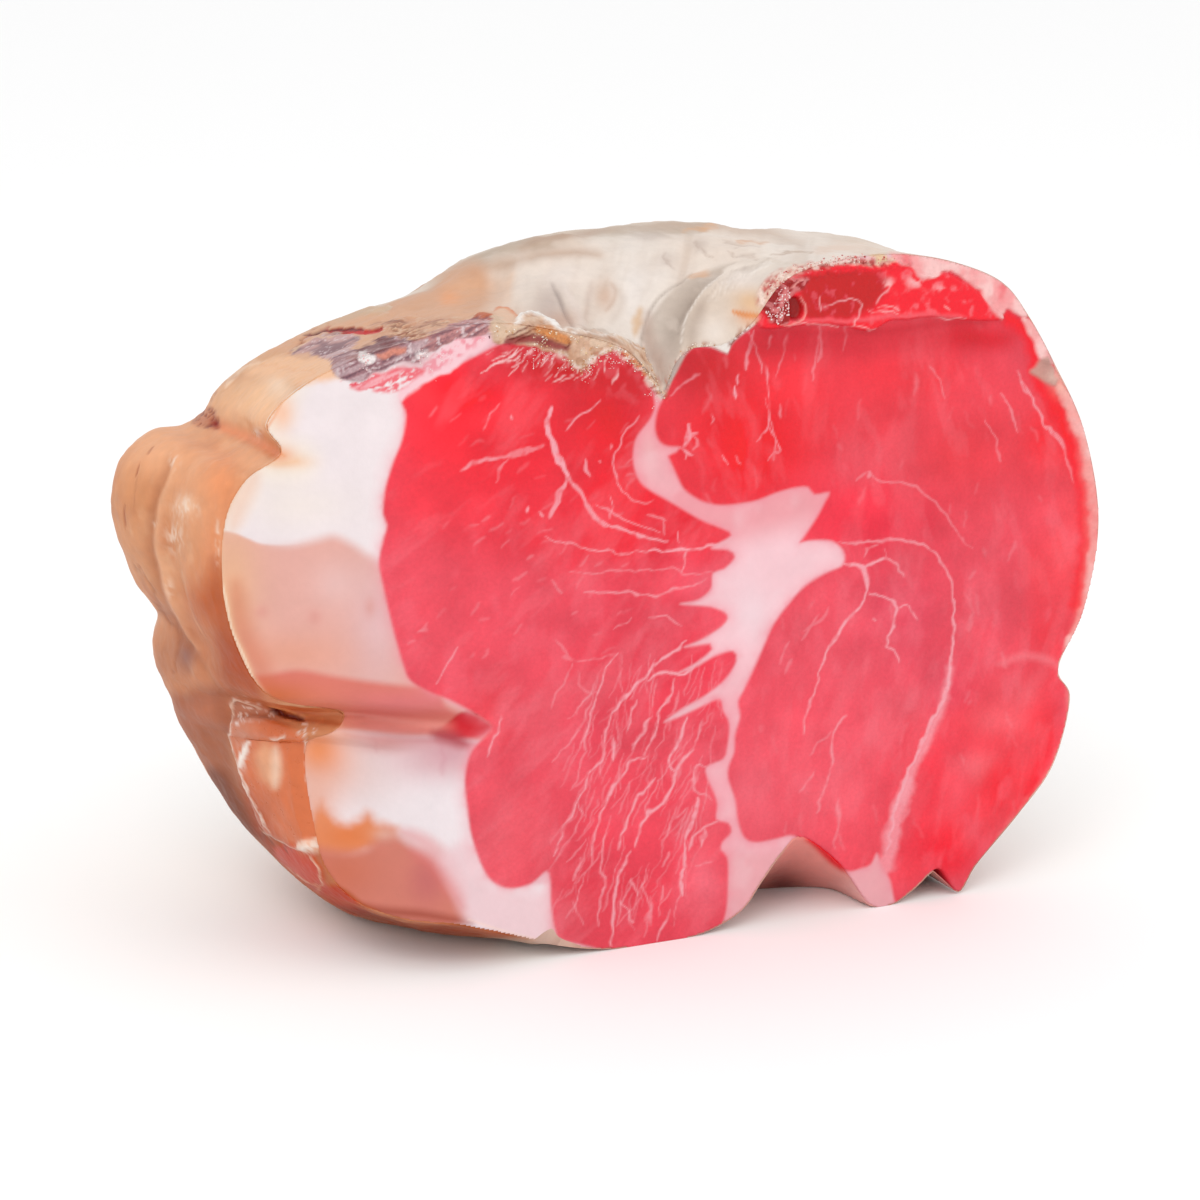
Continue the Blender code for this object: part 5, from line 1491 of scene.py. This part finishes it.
def rind_tones(skin, well_in):
    """Rind: waxy tan skin with orange over yellowed fat, fading into the casing; with painted highlights
    and shade.
    """
    p = skin.places
    casing_tones(skin)
    skin.lift *= 0.4
    skin.lay(0.5 * well_in, (226, 184, 150))
    tan = np.clip(well_in * 1.3 + 0.3 * noise(p, 8.0, 90, 3) * well_in * (1.0 - well_in) * 4.0, 0.0, 1.0)
    skin.paint([
        (tan, None, (222, 162, 122)),
        (0.7 * tan * step(-0.2, 0.8, noise(p, 22.0, 91, 3)), None, (236, 180, 140)),
        (0.6 * tan * step(0.1, 0.9, noise(p, 15.0, 93, 3)), None, (202, 130, 92)),
        (0.4 * tan * step(0.3, 1.0, noise(p, 9.0, 95, 3)), None, (172, 112, 90)),
        (0.4 * tan * step(0.2, 0.9, noise(p, 4.0, 96, 3)), None, (244, 200, 164)),
        (0.7 * tan * step(40.0, 4.0, p[:, 2]), None, (186, 104, 66)),
        (0.6 * step(118.0, 134.0, p[:, 2]), None, (212, 172, 136)),
    ])
    grain = noise(p, 1.0, 97, 3)

    rind_marks = [
        (0.8, ([(286, 398), (276, 414), (266, 427), (264, 440)], 9, 6), (228, 148, 98), dict(lift=-0.4)),
        (0.8, ([(216, 425), (243, 435), (262, 444), (285, 458)], 10, 7), (238, 126, 76), dict(lift=-1.0)),
        (0.85, (222, 485, 22, 34), (248, 162, 112)),
        (0.85, (214, 545, 15, 34), (240, 156, 108)),
        (0.9, (210, 600, 28, 34), (200, 108, 62)),
        (0.95, (238, 660, 28, 46), (178, 88, 50)),
        (0.9, (292, 710, 44, 11), (220, 120, 78)),
        (0.7, (140, 490, 26, 40), (226, 160, 112)),
        (0.8, (164, 454, 44, 24), (252, 192, 150)),
        (0.6, (252, 461, 16, 12), (255, 192, 148)),
        (0.6, ([(242, 636), (246, 664), (254, 690)], 20, 10), (180, 80, 42)),
        (0.4, (188, 652, 16, 26), (160, 102, 82)),
        (0.7, ([(216, 560), (220, 600), (230, 640), (246, 675), (262, 700)], 16.0, 9.0), (190, 98, 58)),
        (0.7, (192, 500, 22, 46), (240, 176, 134)),
        # A painted highlight on the knob.
        (0.8, (188, 505, 9, 9), (250, 214, 184), dict(dull=0.2)),
        (0.9, (262, 404, 36, 32), (255, 202, 158)),
        (0.6, (280, 388, 12, 12), (255, 224, 198)),
        (0.7, (228, 372, 30, 16), (206, 148, 110)),
        (0.8, (285, 342, 46, 14), (226, 164, 124)),
        (0.8, (188, 655, 10, 14), (156, 118, 114)),
        (0.8, (165, 660, 12, 34), (196, 142, 112)),
        (0.8, ([(172, 700), (190, 690), (222, 690), (236, 720), (238, 760), (262, 820), (250, 840),
                (215, 800), (190, 750)], 10.0), (168, 104, 80)),
        (0.6, (204, 708, 22, 18), (204, 140, 114)),
        (0.7, ([(205, 775), (225, 770), (250, 812), (275, 840), (292, 880), (262, 852), (226, 815)], 8.0),
         (118, 62, 42)),
    ]
    skin.paint(rind_marks)

    # The soft ridge and the folds of the knob, with painted shade in the valley beside the ridge and
    # painted light on its crest, and cracks where it has dried.
    ridge = [(170, 462), (165, 477), (155, 501), (152, 524), (152, 553), (156, 576), (161, 595),
             (173, 620), (182, 635), (193, 648)]
    ridge_marks = [
        (0.7, (ridge, 8.0, 6.0), (186, 124, 90), dict(lift=-1.1)),
        (0.6, ([(u + 8, v) for u, v in ridge], 6.0, 5.0), (244, 194, 158), dict(lift=0.9)),
        (0.6, ([(138, 566), (150, 584), (157, 601), (165, 616), (177, 630), (180, 642), (177, 670)], 3.0,
               2.0, True), (170, 112, 84), dict(lift=-0.4)),
    ]
    skin.paint(ridge_marks)
    for line in ([(155, 447), (149, 457)], [(142, 465), (140, 471), (138, 478)],
                 [(128, 504), (127, 515), (128, 527)]):
        skin.lay(0.8 * skin.stroke(line, 1.2, 0.9, False, 0.8), (158, 84, 60), lift=-0.25)
    skin.lay(0.4 * skin.stroke([(140, 477), (137, 495), (137, 514)], 1.0, 1.0), (176, 112, 82))
    crease = [(158, 612), (175, 618), (195, 650), (222, 690)]
    skin.lay(0.4 * skin.stroke(crease, 5.0, 4.0), (180, 122, 92), lift=-0.5)
    spot = skin.area([(194, 426), (200, 416), (210, 408), (218, 413), (219, 424), (212, 430)], 3.5)
    knob_marks = [
        (0.7 * spot, None, (196, 124, 98)),
        (0.7 * spot * step(-0.1, 0.5, grain), None, (132, 70, 62), dict(lift=-0.4)),
        (0.9, (215, 424, 4, 4), (150, 44, 36), dict(lift=-0.4)),
        (0.5 * step(0.0, 0.6, noise(p * (1.0, 1.0, 2.0), 2.4, 99, 3)),
         ([(205, 420), (217, 392), (236, 368), (262, 345), (296, 333)], 15.0, 5.0, True), (176, 112, 84),
         dict(lift=-0.2)),
        (0.8, ([(262, 366), (287, 371), (304, 373), (316, 374), (302, 381), (297, 390)], 2.6, 1.5, True),
         (222, 134, 84), dict(lift=-0.3)),
        (0.7, ([(286, 354), (298, 345), (308, 339), (318, 335)], 3.0, 1.6, True), (196, 108, 66),
         dict(lift=-0.3)),
        # A painted highlight along the rind's border.
        (0.6, ([(228, 388), (236, 378), (248, 369), (268, 363)], 3.4, 2.0, True), (252, 224, 198),
         dict(lift=0.3)),
    ]
    skin.paint(knob_marks)

    # Thick wet lobe at the bottom, clear as amber, with painted highlights, and the loose skin over it.
    lobe = skin.area([(234, 722), (262, 718), (300, 731), (307, 740), (308, 785), (316, 808), (320, 842),
                      (303, 848), (276, 836), (262, 822), (252, 796), (243, 770), (236, 745)], 3.0)
    lobe_marks = [
        (lobe, None, (222, 122, 80), dict(lift=0.9, dull=0.2)),
        (0.7 * lobe, (246, 728, 16, 18), (206, 138, 112)),
        (0.6 * lobe, (262, 812, 20, 22), (192, 96, 56)),
        (0.6, ([(242, 764), (262, 800), (290, 838), (320, 850), (326, 886), (300, 886), (268, 850),
                (250, 812)], 6.0), (186, 76, 26)),
        # Painted highlights: a broad soft sheen down the lobe, a brighter core and a white streak.
        (0.7 * lobe, ([(270, 744), (272, 760), (278, 780)], 22, 9), (240, 182, 142), dict(lift=0.2)),
        (0.7 * lobe, ([(280, 746), (281, 764), (280, 784)], 8, 6), (250, 220, 196)),
        (0.9 * lobe, ([(253, 740), (249, 752), (244, 764)], 6, 2.4, True), (255, 242, 232), dict(lift=0.2)),
        (0.6 * lobe, (284, 726, 20, 8), (206, 104, 66)),
        (1.0, ([(278, 846), (300, 842), (314, 852), (327, 884), (318, 892), (298, 884), (282, 866)], 3.5,
               True), (214, 82, 0), dict(dull=0.3)),
        (0.95, ([(290, 878), (322, 882), (341, 886), (352, 895), (362, 905), (375, 912), (335, 914),
                 (306, 900)], 3.0), (204, 78, 0)),
        # A painted highlight.
        (0.9, ([(300, 846), (306, 840), (318, 838), (320, 845), (314, 852), (304, 852)], 2.0, True),
         (248, 202, 176), dict(lift=0.4, dull=0.2)),
    ]
    skin.paint(lobe_marks)
    veil = skin.area([(233, 698), (250, 700), (266, 708), (280, 715), (284, 722), (262, 722), (234, 720)],
                     2.4, True)
    skin.lay(0.6 * veil, (200, 142, 122), lift=0.5, dull=0.2)
    veil += skin.area([(299, 724), (310, 723), (321, 722), (318, 730), (306, 734), (300, 731)], 2.0, True)
    veil_marks = [
        (0.9 * veil * step(0.15, 0.5, grain), None, (250, 230, 222), dict(lift=0.2)),
        # A dark line of painted shadow under the fat's lip, with the skin sunk along it.
        (0.95, ([(270, 709), (282, 714), (294, 717), (304, 720)], 5.5, 1.6), (124, 54, 30),
         dict(lift=-1.0)),
        (0.7, ([(304, 720), (322, 722), (347, 725)], 5.0, 3.0), (190, 96, 58)),
        (0.85, ([(268, 706), (287, 709), (302, 715), (324, 719)], 2.0, 1.0), (232, 160, 110),
         dict(lift=0.3)),
    ]
    skin.paint(veil_marks)
    # Pale lines along the edges of the lobe and its clear skin: partly their own pale edges, partly painted
    # highlight.
    for width, line in ((2.0, [(235, 699), (233, 719), (234, 741), (244, 767), (257, 801), (274, 830)]),
                        (2.2, [(306, 734), (306, 757), (307, 778), (311, 800), (316, 812), (319, 834),
                               (320, 845)]),
                        (1.8, [(312, 855), (319, 866), (323, 880), (320, 890)]),
                        (1.6, [(289, 866), (304, 878), (319, 884)]),
                        (2.0, [(263, 829), (274, 836), (287, 842), (303, 849)]),
                        (1.4, [(274, 734), (281, 735), (288, 733)]),
                        (1.8, [(234, 720), (233, 708), (236, 699), (244, 701), (262, 708)])):
        skin.lay(0.8 * skin.stroke(line, width, 1.0, True), (250, 228, 212), lift=0.35, dull=0.25)
    # Painted highlights: glints on the lobe and the rind.
    for u0, v0, wide, high in ((248, 752, 4, 12), (311, 847, 8, 6), (259, 432, 4, 5)):
        skin.lay(0.9 * skin.cloud(u0, v0, wide, high) * step(-0.6, 0.1, grain), (254, 244, 234), lift=0.3,
                 dull=0.2)
    # Painted highlights on the waxy knob.
    for u0, v0, wide, high in ((175, 463, 6, 8), (188, 507, 12, 10), (176, 537, 8, 14), (156, 522, 3, 4),
                               (169, 588, 4, 8), (218, 540, 2, 22)):
        skin.lay(0.65 * skin.cloud(u0, v0, wide, high) * step(-0.3, 0.5, grain), (254, 236, 218), lift=0.1,
                 dull=0.3)
    skin.lay(0.6 * skin.stroke([(262, 830), (276, 840), (292, 850)], 8.0, 3.0, True)
             * step(0.0, 0.4, grain), (120, 70, 56))
    # A strip of painted shade on the underside along the bottom edge.
    skin.lay(0.9 * skin.stroke([(318, 902), (345, 911), (380, 920), (430, 930), (480, 940), (540, 948)],
                               20, 5), (158, 78, 50))
    u, v = skin.view.T
    # The tan is made darker and browner lower down, except on the lobe.
    darker_below = tan * skin.shown * (0.4 + 0.6 * step(560.0, 660.0, v)) * step(395.0, 440.0, v)
    darker_below *= 1.0 - step(0.0, 0.5, lobe)
    skin.colour *= 1.0 - darker_below[:, None] * (0.07, 0.24, 0.32)
    skin.shade(0.04 * noise(p, 2.6, 101, 3))


def wrap(name, sheet, closed, colours):
    """A grid bent onto the rows and columns of places, with its skin."""
    rows, columns = sheet.shape[:2]
    bpy.ops.object.select_all(action="DESELECT")
    bpy.ops.mesh.primitive_grid_add(x_subdivisions=columns - 1, y_subdivisions=rows - 1, size=1.0)
    piece = bpy.context.object
    piece.name = name
    co = np.zeros(rows * columns * 3)
    piece.data.vertices.foreach_get("co", co)
    co = co.reshape(-1, 3) + 0.5
    column = np.rint(co[:, 0] * (columns - 1)).astype(int)
    row = np.rint(co[:, 1] * (rows - 1)).astype(int)
    piece.data.vertices.foreach_set("co", in_frame(sheet[row, column]).ravel())
    keep_skin(piece.data, colours, row * columns + column)
    piece.data.update()
    if closed:
        bpy.ops.object.mode_set(mode="EDIT")
        bpy.ops.mesh.select_all(action="SELECT")
        bpy.ops.mesh.remove_doubles(threshold=SAME_PLACE)
        face_outward()
    return piece


RIND_SINK = 1.8          # how far the casing is sunk where the rind lies on it
SINK_FROM = 134.0        # angles about the axis between which it is, in degrees
SINK_TO = 240.0
SINK_EDGE = 8.0
FRONT_HOLD = 0.03        # share of the depth over which the relief begins


def casing_spacing(p):
    seen = (p[:, 1] > 104.0) & (p[:, 0] > -48.0)
    return np.where(seen, 0.62, np.where(p[:, 0] > 86.0, 1.1, 1.9))


turn, front = rays(CUT_OUTLINE, casing_spacing)
share = np.concatenate([np.linspace(0.0, 0.36, 70, endpoint=False),
                        np.linspace(0.36, 0.80, 42, endpoint=False),
                        0.80 + 0.20 * np.sin(np.linspace(0.0, 0.5 * pi, 38))])
eased = step(0.0, 0.12, share)[:, None] * step(104.0, 118.0, AXIS_Z + front * np.sin(turn))
turns = turn + (softened(turn, 2.0 * pi) - turn) * eased
fronts = front + (softened(front, 0.0) - front) * eased
sheet, normals, cover = sheet_of(turns, fronts, share, True)
p = cover.places
casing_tones(cover)
casing_marks(cover)
cover_share = np.repeat(share, len(turn))
cover.lift += 0.9 * noise(p * (0.8, 1.0, 1.0), 17.0, 111, 3) * step(0.05, 0.3, cover_share)
crepe = noise(p * (1.0, 0.45, 1.0), 5.0, 113, 3)
cover.lift += 0.28 * (0.5 - np.abs(crepe)) * step(0.0, 0.08, cover_share)
cover_angle = np.degrees(np.arctan2(p[:, 2] - AXIS_Z, p[:, 0] - AXIS_X)) % 360.0
under_rind = step(SINK_FROM, SINK_FROM + SINK_EDGE, cover_angle)
under_rind *= step(SINK_TO, SINK_TO - SINK_EDGE, cover_angle)
under_rind *= step(0.87, 0.80, cover_share)
cover.lay(under_rind * step(0.10, 0.04, cover_share), (212, 146, 104))
cover.lay(0.9 * cover.cloud(300, 714, 62, 14), (192, 104, 66))
cover.lift = cover.lift * (1.0 - under_rind) - RIND_SINK * under_rind
cover_places = raised(cover, normals, np.minimum(cover_share / FRONT_HOLD, 1.0))
shaped = cover_places.reshape(sheet.shape)
shaped[-1] = shaped[-1].mean(0)

# In front the casing turns in behind the slices and closes in a shallow cup.
rim_places = shaped[0]
towards_axis = np.array([AXIS_X, 0.0, AXIS_Z]) - rim_places * (1.0, 0.0, 1.0)
towards_axis /= np.linalg.norm(towards_axis, axis=1, keepdims=True)
lip = rim_places + 0.5 * RIM_WALL * towards_axis + (0.0, 0.5, 0.0)
wall = rim_places + RIM_WALL * towards_axis + (0.0, 1.0, 0.0)
deep = rim_places + 1.6 * RIM_WALL * towards_axis + (0.0, SLICE_DEPTH + 1.5, 0.0)
centre = np.broadcast_to(np.array([AXIS_X, deep[:, 1].mean(), AXIS_Z]), deep.shape)
inner = np.stack([centre, deep, wall, lip])
whole = np.concatenate([inner, shaped], axis=0)
whole = np.concatenate([whole, whole[:, :1]], axis=1)
order = np.arange(len(p)).reshape(sheet.shape[:2])
order = np.concatenate([np.repeat(order[:1], 4, axis=0), order], axis=0)
order = np.concatenate([order, order[:, :1]], axis=1).ravel()
cover.colour, cover.dull, cover.grit = cover.colour[order], cover.dull[order], cover.grit[order]
casing = wrap("casing", whole, True, cover)
smooth_shading(casing, SKIN_SHADING)
casing.data.materials.append(moist_material("dry_casing", 380.0, 0.10, 0.5))
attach(casing, "root")
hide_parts("fat")

# The rind: the thick waxy skin of the left side, with its knob, creases and the wet lobe
# under the groove. It lies on the casing's left and slips under it along the top.
RIND_TOP = 129.0         # angles about the axis, in degrees
RIND_BOTTOM = 243.0
RIND_BACK = 0.90         # share of the depth at which it ends
RIND_TUCK = 1.6          # its edges lie this far under the outside
RIND_STAND = 0.4         # and the rest this far above it
RIND_DRAW_IN = 0.955     # its inside is its outside drawn towards the axis
RIND_AXIS_DEPTH = 50.0


def rind_spacing(p):
    return np.where(p[:, 0] > 0.0, 4.0, np.where(p[:, 1] > 112.0, 0.42, 0.60))


turn, front = rays(CUT_OUTLINE, rind_spacing)
degrees = np.degrees(turn) % 360.0
chosen = (degrees > RIND_TOP) & (degrees < RIND_BOTTOM)
turn, front, degrees = turn[chosen], front[chosen], degrees[chosen]
order = np.argsort(-degrees)
turn, front, degrees = turn[order], front[order], degrees[order]
share = np.concatenate([np.linspace(0.0, 0.20, 64, endpoint=False),
                        np.linspace(0.20, 0.42, 50, endpoint=False),
                        np.linspace(0.42, RIND_BACK, 34)])
sheet, normals, rind_skin = sheet_of(turn, front, share, False)
p = rind_skin.places
across_share = np.repeat(share, len(turn))
angle = np.tile(degrees, len(share))
ragged = 2.5 * noise(p, 6.0, 121, 3)
wander = 5.0 * noise(p, 24.0, 122, 3) + ragged
inner_part = step(RIND_TOP, RIND_TOP + 7.0, angle + ragged) * step(RIND_BOTTOM, RIND_BOTTOM - 7.0, angle)
inner_part *= step(RIND_BACK, RIND_BACK - 0.06, across_share + 0.006 * ragged)
top_fade = np.maximum(step(RIND_TOP + 3.0, RIND_TOP + 20.0, angle + wander), step(0.12, 0.04, across_share))
well_in = top_fade * step(RIND_BACK - 0.05, RIND_BACK - 0.26, across_share + 0.012 * wander)
well_in *= step(RIND_BOTTOM - 4.0, RIND_BOTTOM - 14.0, angle + wander)
rind_tones(rind_skin, well_in)
dried_crust(rind_skin)
rind_skin.lift += (0.5 * noise(p * (1.0, 0.8, 1.0), 12.0, 123, 3)
                   + 0.15 * (0.5 - np.abs(noise(p, 3.2, 125, 3))))
rind_skin.lift = rind_skin.lift * inner_part - RIND_TUCK + (RIND_TUCK + RIND_STAND) * inner_part
shaped = raised(rind_skin, normals, np.minimum(across_share / FRONT_HOLD, 1.0))
rind = wrap("rind", shaped.reshape(sheet.shape), False, rind_skin)
bpy.ops.object.mode_set(mode="EDIT")
bpy.ops.mesh.select_mode(type="EDGE")
bpy.ops.mesh.select_all(action="DESELECT")
bpy.ops.mesh.select_non_manifold()
bpy.ops.mesh.extrude_region_move()
rind_middle = in_frame(np.array([AXIS_X, RIND_AXIS_DEPTH, AXIS_Z]))
bpy.ops.transform.resize(value=(RIND_DRAW_IN, 1.0, RIND_DRAW_IN), center_override=tuple(rind_middle))
bpy.ops.mesh.fill(use_beauty=False)
face_outward()
smooth_shading(rind, SKIN_SHADING)
rind.data.materials.append(moist_material("waxy_rind", 420.0, 0.10, 0.35))
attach(rind, "root")
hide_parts("fat")

# Salt, and crumbs of dried meat and casing: hard grains that cling to the crust, to the
# meat just under it and in the pit, and thin flakes that stand up along the edge.
GRAIN_SHINE = 0.14       # how much less dull the grains are than the meat
LOOSE_KINDS = {
    "salt": [(252, 238, 234), (250, 216, 214), (246, 184, 186)],
    "crumb": [(244, 226, 202), (230, 196, 158), (214, 166, 126), (248, 238, 226)],
    "meat": [(250, 214, 206), (240, 156, 150), (196, 60, 66), (252, 234, 226), (226, 130, 122)],
}


def cling(surface, mask, count):
    """Random points of the surface, likelier where the mask is high."""
    chance = np.clip(mask, 0.0, 1.0) ** 2
    return surface[draw.choice(len(surface), size=count, p=chance / chance.sum())]


def grains_of(name, batches, finish):
    """One piece of many small grains; a batch is spots, kind, size span and flatness."""
    bpy.ops.mesh.primitive_ico_sphere_add(subdivisions=1, radius=1.0)
    seed = bpy.context.object
    shape = np.array([v.co for v in seed.data.vertices])
    faces = np.array([p.vertices[:] for p in seed.data.polygons])
    bpy.data.objects.remove(seed)
    points, tones = [], []
    for spots, kind, (small, large), flatness in batches:
        for spot in spots:
            turned, _ = np.linalg.qr(draw.normal(size=(3, 3)))
            rough = shape * (1.0, flatness, 0.8) * (1.0 + 0.25 * draw.uniform(-1.0, 1.0, (len(shape), 1)))
            points.append(spot + rough @ turned.T * draw.uniform(small, large))
            tone = LOOSE_KINDS[kind][draw.integers(len(LOOSE_KINDS[kind]))]
            tones.append(np.repeat([linear(tone)], len(shape), axis=0))
    places = np.concatenate(points)
    skin = Skin(places, 0.0)
    skin.colour = np.concatenate(tones)
    skin.dull -= GRAIN_SHINE
    starts = np.arange(len(points))[:, None, None] * len(shape)
    mesh = bpy.data.meshes.new(name)
    mesh.from_pydata(in_frame(places).tolist(), [], (faces + starts).reshape(-1, 3).tolist())
    piece = bpy.data.objects.new(name, mesh)
    bpy.context.collection.objects.link(piece)
    keep_skin(mesh, skin, np.arange(len(places)))
    work_on(piece)
    bpy.ops.object.mode_set(mode="EDIT")
    face_outward()
    mesh.materials.append(finish)
    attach(piece, "root")


on_cut_face = np.where(highest >= 0, 1.0, 0.0)
cut_band = skin.area(CRUMB_BAND, 4.0) * on_cut_face
cut_edge = skin.stroke([(565, 358), (581, 371), (603, 355), (616, 349), (642, 370), (664, 398)], 7.0,
                       5.0) * on_cut_face
salted = skin.area([(520, 345), (575, 350), (585, 368), (616, 348), (655, 385), (655, 410), (640, 392),
                    (600, 384), (560, 374), (525, 366)], 8.0) * on_cut_face
pit = skin.area([(762, 296), (768, 288), (782, 286), (788, 296), (788, 312), (782, 322), (770, 321),
                 (763, 312)], 2.0)
top_line = [(764, 298), (778, 284), (792, 274), (806, 269), (826, 264), (846, 261), (868, 259), (892, 259)]
notch_line = [(640, 348), (650, 366), (658, 384), (665, 397), (673, 376), (690, 350), (712, 348),
              (730, 352)]
clumps = step(0.0, 0.5, noise(cut_places, 3.0, 141, 2))
grains_of("salt_and_crumbs", [
    (cling(cut_places, salted * clumps, 170), "salt", (0.08, 0.22), 0.6),
    (cling(cut_places, cut_edge, 120), "crumb", (0.12, 0.32), 0.5),
    (cling(cut_places, cut_band * clumps, 90), "crumb", (0.14, 0.36), 0.4),
    (cling(cut_places, pit * on_cut_face, 110), "salt", (0.14, 0.32), 0.7),
    (cling(cut_places, skin.stroke(top_line, 8.0, 3.0) * on_cut_face, 80), "meat", (0.12, 0.32), 0.5),
    (cling(cut_places, skin.area(PALE_STRIPE, 3.0) * clumps * on_cut_face, 30), "salt", (0.08, 0.20), 0.6),
    (cling(cut_places, (skin.cloud(366, 359, 7, 7) + skin.cloud(421, 357, 7, 7)) * on_cut_face, 50),
     "salt", (0.10, 0.24), 0.6),
    (cling(cover_places, cover.stroke(top_line, 10.0, 3.0), 110), "meat", (0.12, 0.34), 0.5),
    (cling(cover_places, cover.stroke(notch_line, 8.0, 4.0), 70), "crumb", (0.10, 0.28), 0.5),
], moist_material("loose_grains", 900.0, 0.10, 0.3))

# The floor is a wide pale sheet, lit by a large soft lamp at the left and a paler one
# at the right, under a bright even sky.
bpy.ops.mesh.primitive_plane_add(size=8.0, location=(0.0, 0.0, 0.0))
floor = bpy.context.object
floor.name = "floor"
paper = bpy.data.materials.new("pale_floor")
paper.use_nodes = True
paper_shader = paper.node_tree.nodes["Principled BSDF"]
paper_shader.inputs["Base Color"].default_value = (0.92, 0.92, 0.92, 1.0)
paper_shader.inputs["Roughness"].default_value = 0.9
floor.data.materials.append(paper)


def soft_lamp(name, place, aim, size, watts, tone):
    """A square lamp of the size in metres, turned to what it lights."""
    bpy.ops.object.light_add(type="AREA", location=place)
    lamp = bpy.context.object
    lamp.name = name
    lamp.data.size = size
    lamp.data.energy = watts
    lamp.data.color = tone
    lamp.rotation_euler = (aim - lamp.location).to_track_quat("-Z", "Y").to_euler()


middle = Vector((0.0, 0.0, 0.07))
soft_lamp("key", (-0.7, -1.0, 1.1), middle, 0.9, 7.0, (1.0, 0.99, 0.97))
soft_lamp("fill", (1.1, -0.9, 0.6), middle, 1.0, 2.5, (1.0, 1.0, 1.0))

sky = bpy.data.worlds.new("sky")
bpy.context.scene.world = sky
sky.use_nodes = True
background = sky.node_tree.nodes["Background"]
background.inputs["Color"].default_value = (1.0, 1.0, 1.0, 1.0)
background.inputs["Strength"].default_value = 1.04
